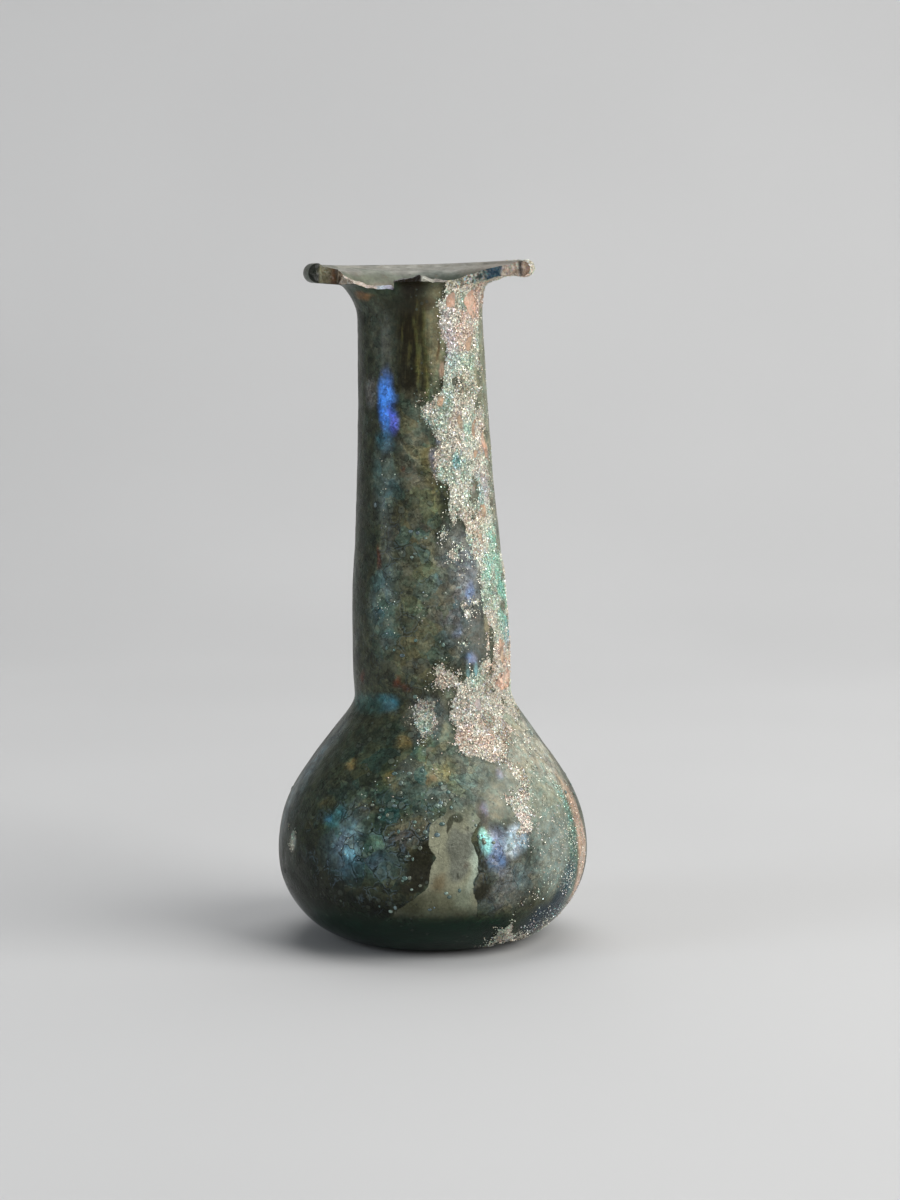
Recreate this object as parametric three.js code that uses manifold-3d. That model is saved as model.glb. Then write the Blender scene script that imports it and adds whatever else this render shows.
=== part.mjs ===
// A Roman unguentarium: a small free-blown glass bottle for scented oil, with a pear-shaped body, a tall
// tubular neck that leans a little, and a splayed, folded rim whose front has broken away.
// Millimetres, +Z up. The origin is the middle of the flat underside, and the broken front faces -Y.

import * as THREE from "three";
import { mergeVertices } from "three/addons/utils/BufferGeometryUtils.js";
import Module from "manifold-3d";

const { degToRad, smoothstep } = THREE.MathUtils;
const wasm = await Module();
wasm.setup();

// Body: outer radius and height of each station, from the underside up.
const BASE_RADIUS = 12.2; // the flat that it stands on
const BELLY_RADIUS = 25.3; // the widest place
const BELLY_HEIGHT = 14.2;
const SHOULDER_RADIUS = 17.0; // where the shoulder turns from convex to concave
const SHOULDER_HEIGHT = 33.2;
const SHOULDER_SLOPE = 0.74; // how much the radius falls for each millimetre of height there
const WAIST_RADIUS = 12.65; // the nip between body and neck
const WAIST_HEIGHT = 40.4;

// Neck: a slight swelling above the nip, then a long taper.
const SWELL_RADIUS = 12.85;
const SWELL_HEIGHT = 45.5;
const THROAT_RADIUS = 10.1; // the narrowest place, under the rim
const THROAT_HEIGHT = 101;

// Rim: a flange of folded, doubled glass that splays from the throat and ends in a rounded lip.
const FLANGE_RADIUS = 12.7; // where its underside levels out
const FLANGE_HEIGHT = 106.9;
const FLANGE_RISE = 0.35; // from there to the lip
const FLANGE_WALL = 1.8;
const LIP_RADIUS = 18.55; // outermost edge
const LIP_WIDTH = 2.9;
const LIP_DEPTH = 2.5; // top to bottom

// Walls.
const BASE_WALL = 3.6;
const BELLY_WALL = 1.7;
const WAIST_WALL = 1.8;
const THROAT_WALL = 1.4;

// Blown glass is never quite true: the neck leans towards -X, the belly is a little oval, the flare starts
// lower on the -X side, and the rim is thickest near the tip that the break has left there.
const LEAN = degToRad(1.82);
const LEAN_FROM = 30; // the axis is upright below this height, and leans fully above LEAN_TO
const LEAN_TO = 43;
const LEAN_PIVOT = (LEAN_FROM + LEAN_TO) / 2;
const BELLY_OVAL = 0.006; // share of the radius
const FLARE_SHIFT = 0.8;
const THICK_RIM_TURN = degToRad(-165); // counted from +X towards +Y
const THICK_RIM_SHARE = 0.26; // of the rim's thickness
const RIM_WAVE = 0.1;

const TURN_STEPS = 40; // facets round the vessel
const CURVE_STEPS = 6; // facets along each curved stretch of the profile

// The cross-section of the wall, as one closed outline in (radius, height): up the outside, over the lip,
// down the inside and back along the floor to the axis.
function wallProfile() {
  const shoulderRise = SHOULDER_HEIGHT - BELLY_HEIGHT;
  const nipRise = WAIST_HEIGHT - SHOULDER_HEIGHT;
  const lipBottom = FLANGE_HEIGHT + FLANGE_RISE;
  const lipInner = LIP_RADIUS - LIP_WIDTH;

  const outside = new THREE.Path();
  outside.moveTo(BASE_RADIUS, 0);
  outside.bezierCurveTo(
    BASE_RADIUS + 0.56 * (BELLY_RADIUS - BASE_RADIUS), 0,
    BELLY_RADIUS, 0.46 * BELLY_HEIGHT,
    BELLY_RADIUS, BELLY_HEIGHT,
  );
  outside.bezierCurveTo(
    BELLY_RADIUS, BELLY_HEIGHT + 0.42 * shoulderRise,
    SHOULDER_RADIUS + 0.34 * shoulderRise * SHOULDER_SLOPE, SHOULDER_HEIGHT - 0.34 * shoulderRise,
    SHOULDER_RADIUS, SHOULDER_HEIGHT,
  );
  outside.bezierCurveTo(
    SHOULDER_RADIUS - 0.6 * nipRise * SHOULDER_SLOPE, SHOULDER_HEIGHT + 0.6 * nipRise,
    WAIST_RADIUS, WAIST_HEIGHT - 0.25 * nipRise,
    WAIST_RADIUS, WAIST_HEIGHT,
  );
  outside.bezierCurveTo(
    WAIST_RADIUS, WAIST_HEIGHT + 2,
    SWELL_RADIUS, SWELL_HEIGHT - 2,
    SWELL_RADIUS, SWELL_HEIGHT,
  );
  outside.bezierCurveTo(
    SWELL_RADIUS, SWELL_HEIGHT + 12,
    THROAT_RADIUS + 0.3, THROAT_HEIGHT - 25,
    THROAT_RADIUS, THROAT_HEIGHT,
  );
  outside.bezierCurveTo(
    THROAT_RADIUS, THROAT_HEIGHT + 3.6,
    FLANGE_RADIUS - 1.6, FLANGE_HEIGHT - 0.2,
    FLANGE_RADIUS, FLANGE_HEIGHT,
  );

  const lip = new THREE.Path();
  lip.absellipse(
    LIP_RADIUS - LIP_WIDTH / 2, lipBottom + LIP_DEPTH / 2,
    LIP_WIDTH / 2, LIP_DEPTH / 2,
    -0.45 * Math.PI, 0.8 * Math.PI, false, 0,
  );

  const bellyBore = BELLY_RADIUS - BELLY_WALL;
  const shoulderBore = SHOULDER_RADIUS - 1.15 * BELLY_WALL;
  const waistBore = WAIST_RADIUS - WAIST_WALL;
  const throatBore = THROAT_RADIUS - THROAT_WALL;
  const inside = new THREE.Path();
  inside.moveTo(lipInner - 0.5, lipBottom + FLANGE_WALL + 0.1);
  inside.lineTo(FLANGE_RADIUS + 0.2, FLANGE_HEIGHT + FLANGE_WALL);
  inside.bezierCurveTo(
    FLANGE_RADIUS - 1.4, FLANGE_HEIGHT + FLANGE_WALL - 0.5,
    throatBore, THROAT_HEIGHT + 4,
    throatBore, THROAT_HEIGHT - 1,
  );
  inside.bezierCurveTo(
    throatBore + 0.3, THROAT_HEIGHT - 26,
    waistBore + 0.3, SWELL_HEIGHT + 12,
    waistBore, WAIST_HEIGHT,
  );
  inside.bezierCurveTo(
    waistBore, WAIST_HEIGHT - 0.4 * nipRise,
    shoulderBore - 0.45 * nipRise * SHOULDER_SLOPE, SHOULDER_HEIGHT + 0.45 * nipRise,
    shoulderBore, SHOULDER_HEIGHT,
  );
  inside.bezierCurveTo(
    shoulderBore + 0.34 * shoulderRise * SHOULDER_SLOPE, SHOULDER_HEIGHT - 0.34 * shoulderRise,
    bellyBore, BELLY_HEIGHT + 0.42 * shoulderRise,
    bellyBore, BELLY_HEIGHT + 1,
  );
  inside.bezierCurveTo(
    bellyBore, 0.5 * BELLY_HEIGHT,
    0.82 * bellyBore, BASE_WALL,
    0.48 * bellyBore, BASE_WALL,
  );

  return [
    new THREE.Vector2(0, 0),
    ...outside.getPoints(CURVE_STEPS),
    ...lip.getPoints(CURVE_STEPS + 2),
    ...inside.getPoints(CURVE_STEPS),
    new THREE.Vector2(0, BASE_WALL),
  ];
}

// Moves each point of the true, round vessel to where the real one has it.
function settle(geometry) {
  const points = geometry.getAttribute("position");
  const point = new THREE.Vector3();
  const pivot = new THREE.Vector3(0, 0, LEAN_PIVOT);
  const backwards = new THREE.Vector3(0, -1, 0);
  for (let i = 0; i < points.count; i += 1) {
    point.fromBufferAttribute(points, i);
    const turn = Math.atan2(point.y, point.x);
    const radius = Math.hypot(point.x, point.y);

    const onBelly = smoothstep(point.z, 0.5, 8) * (1 - smoothstep(point.z, 28, WAIST_HEIGHT));
    const oval = 1 + BELLY_OVAL * onBelly * Math.cos(2 * (turn - 0.6));
    point.x *= oval;
    point.y *= oval;

    const onFlare = smoothstep(point.z, THROAT_HEIGHT + 1, FLANGE_HEIGHT);
    point.x -= FLARE_SHIFT * onFlare * (1 - smoothstep(radius, THROAT_RADIUS, FLANGE_RADIUS + 1.5));

    const onRim = onFlare * smoothstep(radius, THROAT_RADIUS, FLANGE_RADIUS);
    const overFlange = Math.max(0, point.z - FLANGE_HEIGHT);
    const thicker = THICK_RIM_SHARE * Math.max(0, Math.cos(turn - THICK_RIM_TURN)) ** 4;
    point.z += onRim * (RIM_WAVE * Math.sin(3 * turn + 0.5) + thicker * overFlange);

    const lean = LEAN * smoothstep(point.z, LEAN_FROM, LEAN_TO);
    point.sub(pivot).applyAxisAngle(backwards, lean).add(pivot);
    points.setXYZ(i, point.x, point.y, point.z);
  }
  return geometry;
}

// A closed three.js geometry as a solid that can be cut. Triangles that have shrunk to a line are left out.
function toSolid(geometry) {
  const bare = geometry.clone();
  bare.deleteAttribute("normal");
  bare.deleteAttribute("uv");
  const merged = mergeVertices(bare, 1e-5);
  const corners = merged.index.array;
  const kept = [];
  for (let i = 0; i < corners.length; i += 3) {
    const [a, b, c] = [corners[i], corners[i + 1], corners[i + 2]];
    if (a !== b && b !== c && c !== a) kept.push(a, b, c);
  }
  return new wasm.Manifold(new wasm.Mesh({
    numProp: 3,
    vertProperties: new Float32Array(merged.getAttribute("position").array),
    triVerts: new Uint32Array(kept),
  }));
}

function toGeometry(solid) {
  const mesh = solid.getMesh();
  const geometry = new THREE.BufferGeometry();
  geometry.setAttribute("position", new THREE.BufferAttribute(new Float32Array(mesh.vertProperties), 3));
  geometry.setIndex(new THREE.BufferAttribute(new Uint32Array(mesh.triVerts), 1));
  geometry.computeVertexNormals();
  return geometry;
}

// The lost front of the rim, as solids to cut away, measured from the rim's own middle.
const RIM_MIDDLE = -Math.sin(LEAN) * (FLANGE_HEIGHT - LEAN_PIVOT);
const BREAK_REACH = 25; // well outside the rim
const BREAK_TOP = 115; // well above it
const FLANGE_BREAK_BOTTOM = 104.2;

// Seen from above, the chipped line that the flange has snapped along, as (x, y). Between the two tips it
// bows forward, clear of the throat.
const FLANGE_BREAK = [
  [-25, -7.6], [-17.3, -6.4], [-15.9, -6.1], [-15.5, -5.2], [-13.3, -4.9], [-12.5, -5.3], [-11.4, -7.4],
  [-9.4, -10.2], [-5.5, -12.4], [0, -13.2], [3.9, -12.0], [4.6, -10.4], [6.0, -9.0], [7.8, -8.1],
  [9.2, -6.9], [10.8, -6.5], [13.2, -7.0], [15.2, -5.8], [17.2, -4.7], [25, -5.4],
];

// Seen from the front, the jagged line round the top of the throat with its one standing tooth, as (x, z).
const THROAT_BREAK = [
  [-12.7, 106.6], [-12.0, 107.8], [-11.0, 107.2], [-9.7, 106.4], [-8.4, 105.9], [-6.6, 105.6],
  [-4.6, 105.5], [-3.8, 105.4], [-3.7, 107.1], [-2.3, 107.3], [-0.9, 107.5], [0.3, 108.0], [0.8, 107.4],
  [2.3, 106.8], [2.8, 107.0], [3.9, 106.9], [4.8, 106.1], [6.2, 105.8],
];
const THROAT_BREAK_BACK = -3.2; // it reaches this far back from the front

function shapeOf(corners) {
  return new THREE.Shape(corners.map(([x, y]) => new THREE.Vector2(x, y)));
}

function lostFront() {
  const flangePlan = shapeOf([[BREAK_REACH, -BREAK_REACH], ...FLANGE_BREAK.toReversed(), [-BREAK_REACH, -BREAK_REACH]]);
  const flange = new THREE.ExtrudeGeometry(flangePlan, {
    depth: BREAK_TOP - FLANGE_BREAK_BOTTOM,
    bevelEnabled: false,
  });
  flange.translate(RIM_MIDDLE, 0, FLANGE_BREAK_BOTTOM);

  const first = THROAT_BREAK[0];
  const last = THROAT_BREAK.at(-1);
  const throatFront = shapeOf([...THROAT_BREAK, [last[0], BREAK_TOP], [first[0], BREAK_TOP]]);
  const throat = new THREE.ExtrudeGeometry(throatFront, {
    depth: BREAK_REACH + THROAT_BREAK_BACK,
    bevelEnabled: false,
  });
  throat.rotateX(Math.PI / 2).translate(RIM_MIDDLE, THROAT_BREAK_BACK, 0);

  return toSolid(flange).add(toSolid(throat));
}

const weatheredGlass = new THREE.MeshStandardMaterial({
  name: "weathered glass",
  color: 0x6f8477,
  roughness: 0.35,
  metalness: 0.05,
});

const turned = new THREE.LatheGeometry(wallProfile(), TURN_STEPS).rotateX(Math.PI / 2);
const broken = toSolid(settle(turned)).subtract(lostFront());
const vessel = new THREE.Mesh(toGeometry(broken), weatheredGlass);
vessel.name = "glass_vessel";

const unguentarium = new THREE.Group();
unguentarium.add(vessel);

export default unguentarium;
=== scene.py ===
import itertools
import math

import bpy
import numpy as np
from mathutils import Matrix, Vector


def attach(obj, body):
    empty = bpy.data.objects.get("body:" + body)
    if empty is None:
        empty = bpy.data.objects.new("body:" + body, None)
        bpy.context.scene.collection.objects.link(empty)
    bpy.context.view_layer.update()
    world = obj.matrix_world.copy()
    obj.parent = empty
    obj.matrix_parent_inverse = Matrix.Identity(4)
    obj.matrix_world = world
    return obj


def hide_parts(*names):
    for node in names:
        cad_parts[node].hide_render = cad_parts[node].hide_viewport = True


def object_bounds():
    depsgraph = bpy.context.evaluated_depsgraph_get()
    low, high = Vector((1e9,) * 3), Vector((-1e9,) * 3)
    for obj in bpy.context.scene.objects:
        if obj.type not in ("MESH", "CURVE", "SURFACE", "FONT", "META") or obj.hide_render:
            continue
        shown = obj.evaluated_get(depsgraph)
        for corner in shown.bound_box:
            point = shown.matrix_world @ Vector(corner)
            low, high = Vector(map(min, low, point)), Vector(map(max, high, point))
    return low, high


# The looks of a Roman glass unguentarium: the blown vessel with its broken rim, the pearly crust that has
# grown on it, and the small blisters in its weathered skin.
# Lengths are millimetres in the row frame. A turn is in degrees round the vessel from its broken front (-Y),
# counted towards +X.

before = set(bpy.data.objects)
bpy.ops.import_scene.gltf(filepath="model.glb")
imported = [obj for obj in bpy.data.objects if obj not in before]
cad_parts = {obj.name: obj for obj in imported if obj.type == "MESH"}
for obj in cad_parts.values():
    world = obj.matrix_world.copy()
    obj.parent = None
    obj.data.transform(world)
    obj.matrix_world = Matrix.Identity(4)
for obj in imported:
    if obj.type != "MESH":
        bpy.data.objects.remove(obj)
cad_low, cad_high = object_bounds()

MM = 0.001

# The vessel's cross-section, with the same sizes as the part.
BASE_RADIUS = 12.2
BELLY_RADIUS = 25.3
BELLY_HEIGHT = 14.2
SHOULDER_RADIUS = 17.0
SHOULDER_HEIGHT = 33.2
SHOULDER_SLOPE = 0.74
WAIST_RADIUS = 12.65
WAIST_HEIGHT = 40.4
SWELL_RADIUS = 12.85
SWELL_HEIGHT = 45.5
THROAT_RADIUS = 10.1
THROAT_HEIGHT = 101
FLANGE_RADIUS = 12.7
FLANGE_HEIGHT = 106.9
FLANGE_RISE = 0.35
FLANGE_WALL = 1.8
LIP_RADIUS = 18.55
LIP_WIDTH = 2.9
LIP_DEPTH = 2.5
BASE_WALL = 3.6
BELLY_WALL = 1.7
WAIST_WALL = 1.8
THROAT_WALL = 1.4

# How the real one has settled from that true shape.
LEAN = math.radians(1.82)
LEAN_FROM = 30
LEAN_TO = 43
LEAN_PIVOT = (LEAN_FROM + LEAN_TO) / 2
BELLY_OVAL = 0.006
FLARE_SHIFT = 0.8
THICK_RIM_TURN = math.radians(-165)
THICK_RIM_SHARE = 0.26
THIN_RIM_LIFT = 0.55
RIM_WAVE = 0.1
RIM_MIDDLE = -math.sin(LEAN) * (FLANGE_HEIGHT - LEAN_PIVOT)

# The break, from the rim's middle: the plan of the snapped flange as (x, y), and the top of the throat
# as (x, z).
FLANGE_BREAK = [
    (-17.3, -6.4), (-15.9, -6.1), (-15.5, -5.2), (-13.3, -4.9), (-12.5, -5.3), (-11.4, -7.4),
    (-9.4, -10.2), (-5.5, -12.4), (0, -13.2), (3.9, -12.0), (4.6, -10.4), (6.0, -9.0), (7.8, -8.1),
    (9.2, -6.9), (10.8, -6.5), (13.2, -7.0), (15.2, -5.8), (17.2, -4.7),
]
THROAT_BREAK = [
    (-12.7, 106.6), (-12.0, 107.8), (-11.0, 107.2), (-9.7, 106.4), (-8.4, 105.9), (-6.6, 105.6),
    (-4.6, 105.5), (-3.8, 105.4), (-3.7, 107.1), (-2.3, 107.3), (-0.9, 107.5), (0.3, 108.0), (0.8, 107.4),
    (2.4, 106.5), (2.8, 106.7), (3.9, 106.6), (4.7, 106.8), (5.5, 107.1), (6.2, 107.3), (7.9, 108.0),
    (9.6, 109.6),
]
# How steeply the throat's broken edge slopes up into the bore, as (x, rise for each mm inwards).
THROAT_BEVEL = [
    (-12, 0.4), (-9, 0.6), (-4, 0.85), (-3.6, 0.1), (0.4, 0.1), (0.8, 0.45), (3, 0.4), (5, 0.1), (7, 0),
]
BREAK_REACH = 25
BREAK_TOP = 115
FLANGE_BREAK_BOTTOM = 104.2
THROAT_BREAK_BACK = -3.2

# How finely the vessel is modelled.
COLUMNS = 280
FRONT_SHARE = 0.35  # how much closer the columns stand at the front than on average
BODY_STEP = 0.62
RIM_STEP = 0.36
BORE_STEP = 2.2
CHIP_STEP = 0.34
SHARP_ANGLE = 50

OUTSIDE, INSIDE, BROKEN = 0, 1, 2


# ---------------------------------------------------------------- numbers

def smoothstep(value, low, high):
    share = np.clip((value - low) / (high - low), 0, 1)
    return share * share * (3 - 2 * share)


def noise(places, size, seed):
    """Smooth noise from -1 to 1 at places in mm, in lumps of about that size. The same every run."""
    scaled = np.asarray(places, float) / size + 0.37 * seed
    cell = np.floor(scaled).astype(np.int64)
    part = scaled - cell
    part = part * part * (3 - 2 * part)
    total = np.zeros(len(scaled))
    for corner in itertools.product((0, 1), repeat=3):
        key = (cell + corner) @ np.array([73856093, 19349663, 83492791]) + seed * 1013904223
        key = (key ^ (key >> 13)) * 1274126177
        key = (key ^ (key >> 16)) & 0xFFFFFF
        weight = np.prod(np.where(corner, part, 1 - part), axis=1)
        total += weight * (key / 0x7FFFFF - 1)
    return total


def unit(vectors):
    return vectors / np.maximum(np.linalg.norm(vectors, axis=1, keepdims=True), 1e-9)


def paint(colour):
    """The linear colour of a surface from how it should look, each part from 0 to 255."""
    seen = np.array(colour) / 255
    return np.where(seen <= 0.04045, seen / 12.92, ((seen + 0.055) / 1.055) ** 2.4)


# ---------------------------------------------------------------- the vessel's shape

def curve(start, start_handle, end_handle, end, step):
    """Points about a step apart along a cubic curve, without its end."""
    corners = np.array([start, start_handle, end_handle, end], float)
    around = np.linalg.norm(np.diff(corners, axis=0), axis=1).sum()
    count = max(2, round((around + np.linalg.norm(corners[3] - corners[0])) / 2 / step))
    share = np.arange(count)[:, None] / count
    rest = 1 - share
    blended = rest**3 * corners[0] + 3 * rest**2 * share * corners[1]
    return blended + 3 * rest * share**2 * corners[2] + share**3 * corners[3]


def line(start, end, step):
    """Points about a step apart along a straight run, without its end."""
    start, end = np.array(start, float), np.array(end, float)
    count = max(1, round(np.linalg.norm(end - start) / step))
    return start + (end - start) * np.arange(count)[:, None] / count


def wall_profile():
    """The cross-section of the wall as (radius, height) rows from the underside's middle round to the floor's
    middle, and the row at which the inside begins."""
    shoulder_rise = SHOULDER_HEIGHT - BELLY_HEIGHT
    nip = WAIST_HEIGHT - SHOULDER_HEIGHT
    lip_bottom = FLANGE_HEIGHT + FLANGE_RISE
    lip_middle = np.array([LIP_RADIUS - LIP_WIDTH / 2, lip_bottom + LIP_DEPTH / 2])
    lip_half = np.array([LIP_WIDTH / 2, LIP_DEPTH / 2])

    def lip(first, last, count):
        angles = np.linspace(first, last, count, endpoint=False) * math.pi
        return lip_middle + lip_half * np.column_stack([np.cos(angles), np.sin(angles)])

    outside = [
        line((0.4, 0), (BASE_RADIUS, 0), 2.0),
        curve((BASE_RADIUS, 0), (BASE_RADIUS + 0.56 * (BELLY_RADIUS - BASE_RADIUS), 0),
              (BELLY_RADIUS, 0.46 * BELLY_HEIGHT), (BELLY_RADIUS, BELLY_HEIGHT), BODY_STEP),
        curve((BELLY_RADIUS, BELLY_HEIGHT), (BELLY_RADIUS, BELLY_HEIGHT + 0.42 * shoulder_rise),
              (SHOULDER_RADIUS + 0.34 * shoulder_rise * SHOULDER_SLOPE,
               SHOULDER_HEIGHT - 0.34 * shoulder_rise),
              (SHOULDER_RADIUS, SHOULDER_HEIGHT), BODY_STEP),
        curve((SHOULDER_RADIUS, SHOULDER_HEIGHT),
              (SHOULDER_RADIUS - 0.6 * nip * SHOULDER_SLOPE, SHOULDER_HEIGHT + 0.6 * nip),
              (WAIST_RADIUS, WAIST_HEIGHT - 0.25 * nip), (WAIST_RADIUS, WAIST_HEIGHT), BODY_STEP),
        curve((WAIST_RADIUS, WAIST_HEIGHT), (WAIST_RADIUS, WAIST_HEIGHT + 2),
              (SWELL_RADIUS, SWELL_HEIGHT - 2), (SWELL_RADIUS, SWELL_HEIGHT), BODY_STEP),
        curve((SWELL_RADIUS, SWELL_HEIGHT), (SWELL_RADIUS, SWELL_HEIGHT + 12),
              (THROAT_RADIUS + 0.3, THROAT_HEIGHT - 25), (THROAT_RADIUS, THROAT_HEIGHT), BODY_STEP),
        curve((THROAT_RADIUS, THROAT_HEIGHT), (THROAT_RADIUS, THROAT_HEIGHT + 3.6),
              (FLANGE_RADIUS - 1.6, FLANGE_HEIGHT - 0.2), (FLANGE_RADIUS, FLANGE_HEIGHT), RIM_STEP),
        line((FLANGE_RADIUS, FLANGE_HEIGHT), lip(-0.45, -0.4, 1)[0], RIM_STEP),
        lip(-0.45, 0.4, 12),
    ]

    belly_bore = BELLY_RADIUS - BELLY_WALL
    shoulder_bore = SHOULDER_RADIUS - 1.15 * BELLY_WALL
    waist_bore = WAIST_RADIUS - WAIST_WALL
    throat_bore = THROAT_RADIUS - THROAT_WALL
    flange_top = FLANGE_HEIGHT + FLANGE_WALL
    flange_inner = (LIP_RADIUS - LIP_WIDTH - 0.5, lip_bottom + FLANGE_WALL + 0.1)
    inside = [
        lip(0.4, 0.8, 5),
        line(lip(0.8, 1, 1)[0], flange_inner, RIM_STEP),
        line(flange_inner, (FLANGE_RADIUS + 0.2, flange_top), RIM_STEP),
        curve((FLANGE_RADIUS + 0.2, flange_top), (FLANGE_RADIUS - 1.4, flange_top - 0.5),
              (throat_bore, THROAT_HEIGHT + 4), (throat_bore, THROAT_HEIGHT - 1), RIM_STEP),
        curve((throat_bore, THROAT_HEIGHT - 1), (throat_bore + 0.3, THROAT_HEIGHT - 26),
              (waist_bore + 0.3, SWELL_HEIGHT + 12), (waist_bore, WAIST_HEIGHT), BORE_STEP),
        curve((waist_bore, WAIST_HEIGHT), (waist_bore, WAIST_HEIGHT - 0.4 * nip),
              (shoulder_bore - 0.45 * nip * SHOULDER_SLOPE, SHOULDER_HEIGHT + 0.45 * nip),
              (shoulder_bore, SHOULDER_HEIGHT), BORE_STEP),
        curve((shoulder_bore, SHOULDER_HEIGHT),
              (shoulder_bore + 0.34 * shoulder_rise * SHOULDER_SLOPE, SHOULDER_HEIGHT - 0.34 * shoulder_rise),
              (belly_bore, BELLY_HEIGHT + 0.42 * shoulder_rise), (belly_bore, BELLY_HEIGHT + 1), BORE_STEP),
        curve((belly_bore, BELLY_HEIGHT + 1), (belly_bore, 0.5 * BELLY_HEIGHT),
              (0.82 * belly_bore, BASE_WALL), (0.48 * belly_bore, BASE_WALL), BORE_STEP),
        line((0.48 * belly_bore, BASE_WALL), (0.4, BASE_WALL), BORE_STEP),
        [(0.4, BASE_WALL)],
    ]
    inside_from = sum(len(run) for run in outside)
    return np.vstack(outside + inside), inside_from


def lean_by(places, share):
    """Places turned about the lean's pivot, by the lean at their height times share."""
    angle = share * LEAN * smoothstep(places[:, 2], LEAN_FROM, LEAN_TO)
    rise = places[:, 2] - LEAN_PIVOT
    leaned = places.copy()
    leaned[:, 0] = places[:, 0] * np.cos(angle) - rise * np.sin(angle)
    leaned[:, 2] = places[:, 0] * np.sin(angle) + rise * np.cos(angle) + LEAN_PIVOT
    return leaned


def settle(places):
    """Moves each point of the true, round vessel to where the real one has it."""
    places = places.copy()
    turn = np.arctan2(places[:, 1], places[:, 0])
    radius = np.hypot(places[:, 0], places[:, 1])
    on_belly = smoothstep(places[:, 2], 0.5, 8) * (1 - smoothstep(places[:, 2], 28, WAIST_HEIGHT))
    oval = 1 + BELLY_OVAL * on_belly * np.cos(2 * (turn - 0.6))
    places[:, 0] *= oval
    places[:, 1] *= oval
    on_flare = smoothstep(places[:, 2], THROAT_HEIGHT + 1, FLANGE_HEIGHT)
    places[:, 0] -= FLARE_SHIFT * on_flare * (1 - smoothstep(radius, THROAT_RADIUS, FLANGE_RADIUS + 1.5))
    on_rim = on_flare * smoothstep(radius, THROAT_RADIUS, FLANGE_RADIUS)
    over_flange = np.maximum(0, places[:, 2] - FLANGE_HEIGHT)
    thicker = THICK_RIM_SHARE * np.maximum(0, np.cos(turn - THICK_RIM_TURN)) ** 4
    places[:, 2] += on_rim * (RIM_WAVE * np.sin(3 * turn + 0.5) + thicker * over_flange)
    under_flange = 1 - smoothstep(places[:, 2], FLANGE_HEIGHT + 0.5, FLANGE_HEIGHT + 1.2)
    thin_part = smoothstep(radius, FLANGE_RADIUS - 0.3, FLANGE_RADIUS + 1.8)
    thin_part *= 1 - smoothstep(radius, LIP_RADIUS - LIP_WIDTH + 0.4, LIP_RADIUS - 0.9)
    places[:, 2] += THIN_RIM_LIFT * on_rim * under_flange * thin_part * np.maximum(0, np.cos(turn)) ** 2
    return lean_by(places, 1)


def make_mesh(name, places, faces, kinds=None):
    """A mesh from places in mm, with a material slot number for each face."""
    mesh = bpy.data.meshes.new(name)
    mesh.from_pydata((np.asarray(places) * MM).tolist(), [], faces)
    if kinds is not None:
        mesh.polygons.foreach_set("material_index", np.asarray(kinds, np.int32))
    mesh.update()
    return mesh


def add_object(name, data):
    made = bpy.data.objects.new(name, data)
    bpy.context.scene.collection.objects.link(made)
    return made


def turned_vessel():
    """The whole vessel as a closed mesh, before the break."""
    rows, inside_from = wall_profile()
    even = np.linspace(-math.pi, math.pi, COLUMNS, endpoint=False)
    turns = even - FRONT_SHARE * np.sin(even)
    ring = np.column_stack([np.sin(turns), -np.cos(turns)])
    grid = np.zeros((len(rows), COLUMNS, 3))
    grid[:, :, :2] = rows[:, None, :1] * ring
    grid[:, :, 2] = rows[:, 1, None]
    middles = np.array([[0, 0, rows[0, 1]], [0, 0, rows[-1, 1]]])
    places = settle(np.vstack([grid.reshape(-1, 3), middles]))

    faces = []
    kinds = []
    underside = len(rows) * COLUMNS
    floor = underside + 1
    last = (len(rows) - 1) * COLUMNS
    for column in range(COLUMNS):
        after = (column + 1) % COLUMNS
        faces.append((underside, after, column))
        kinds.append(OUTSIDE)
        faces.append((floor, last + column, last + after))
        kinds.append(INSIDE)
        for row in range(len(rows) - 1):
            near = row * COLUMNS
            far = near + COLUMNS
            faces.append((near + column, near + after, far + after, far + column))
            kinds.append(INSIDE if row >= inside_from else OUTSIDE)
    return make_mesh("turned", places, faces, kinds)


def resampled(corners, step):
    """Points about a step apart along a line of straight runs, its end among them."""
    runs = [line(first, second, step) for first, second in itertools.pairwise(corners)]
    return np.vstack([*runs, np.array(corners[-1:], float)])


def bevelled(places):
    """Places on the throat's break, raised towards the bore."""
    across, rise = zip(*THROAT_BEVEL)
    from_middle = places[:, 0] - RIM_MIDDLE
    outer = THROAT_RADIUS + 0.2 + 2.4 * smoothstep(places[:, 2], THROAT_HEIGHT + 2.5, FLANGE_HEIGHT)
    inward = np.clip(outer - np.hypot(from_middle, places[:, 1]), 0, 2.2)
    raised = places.copy()
    raised[:, 2] += inward * np.interp(from_middle, across, rise)
    return raised


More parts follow.
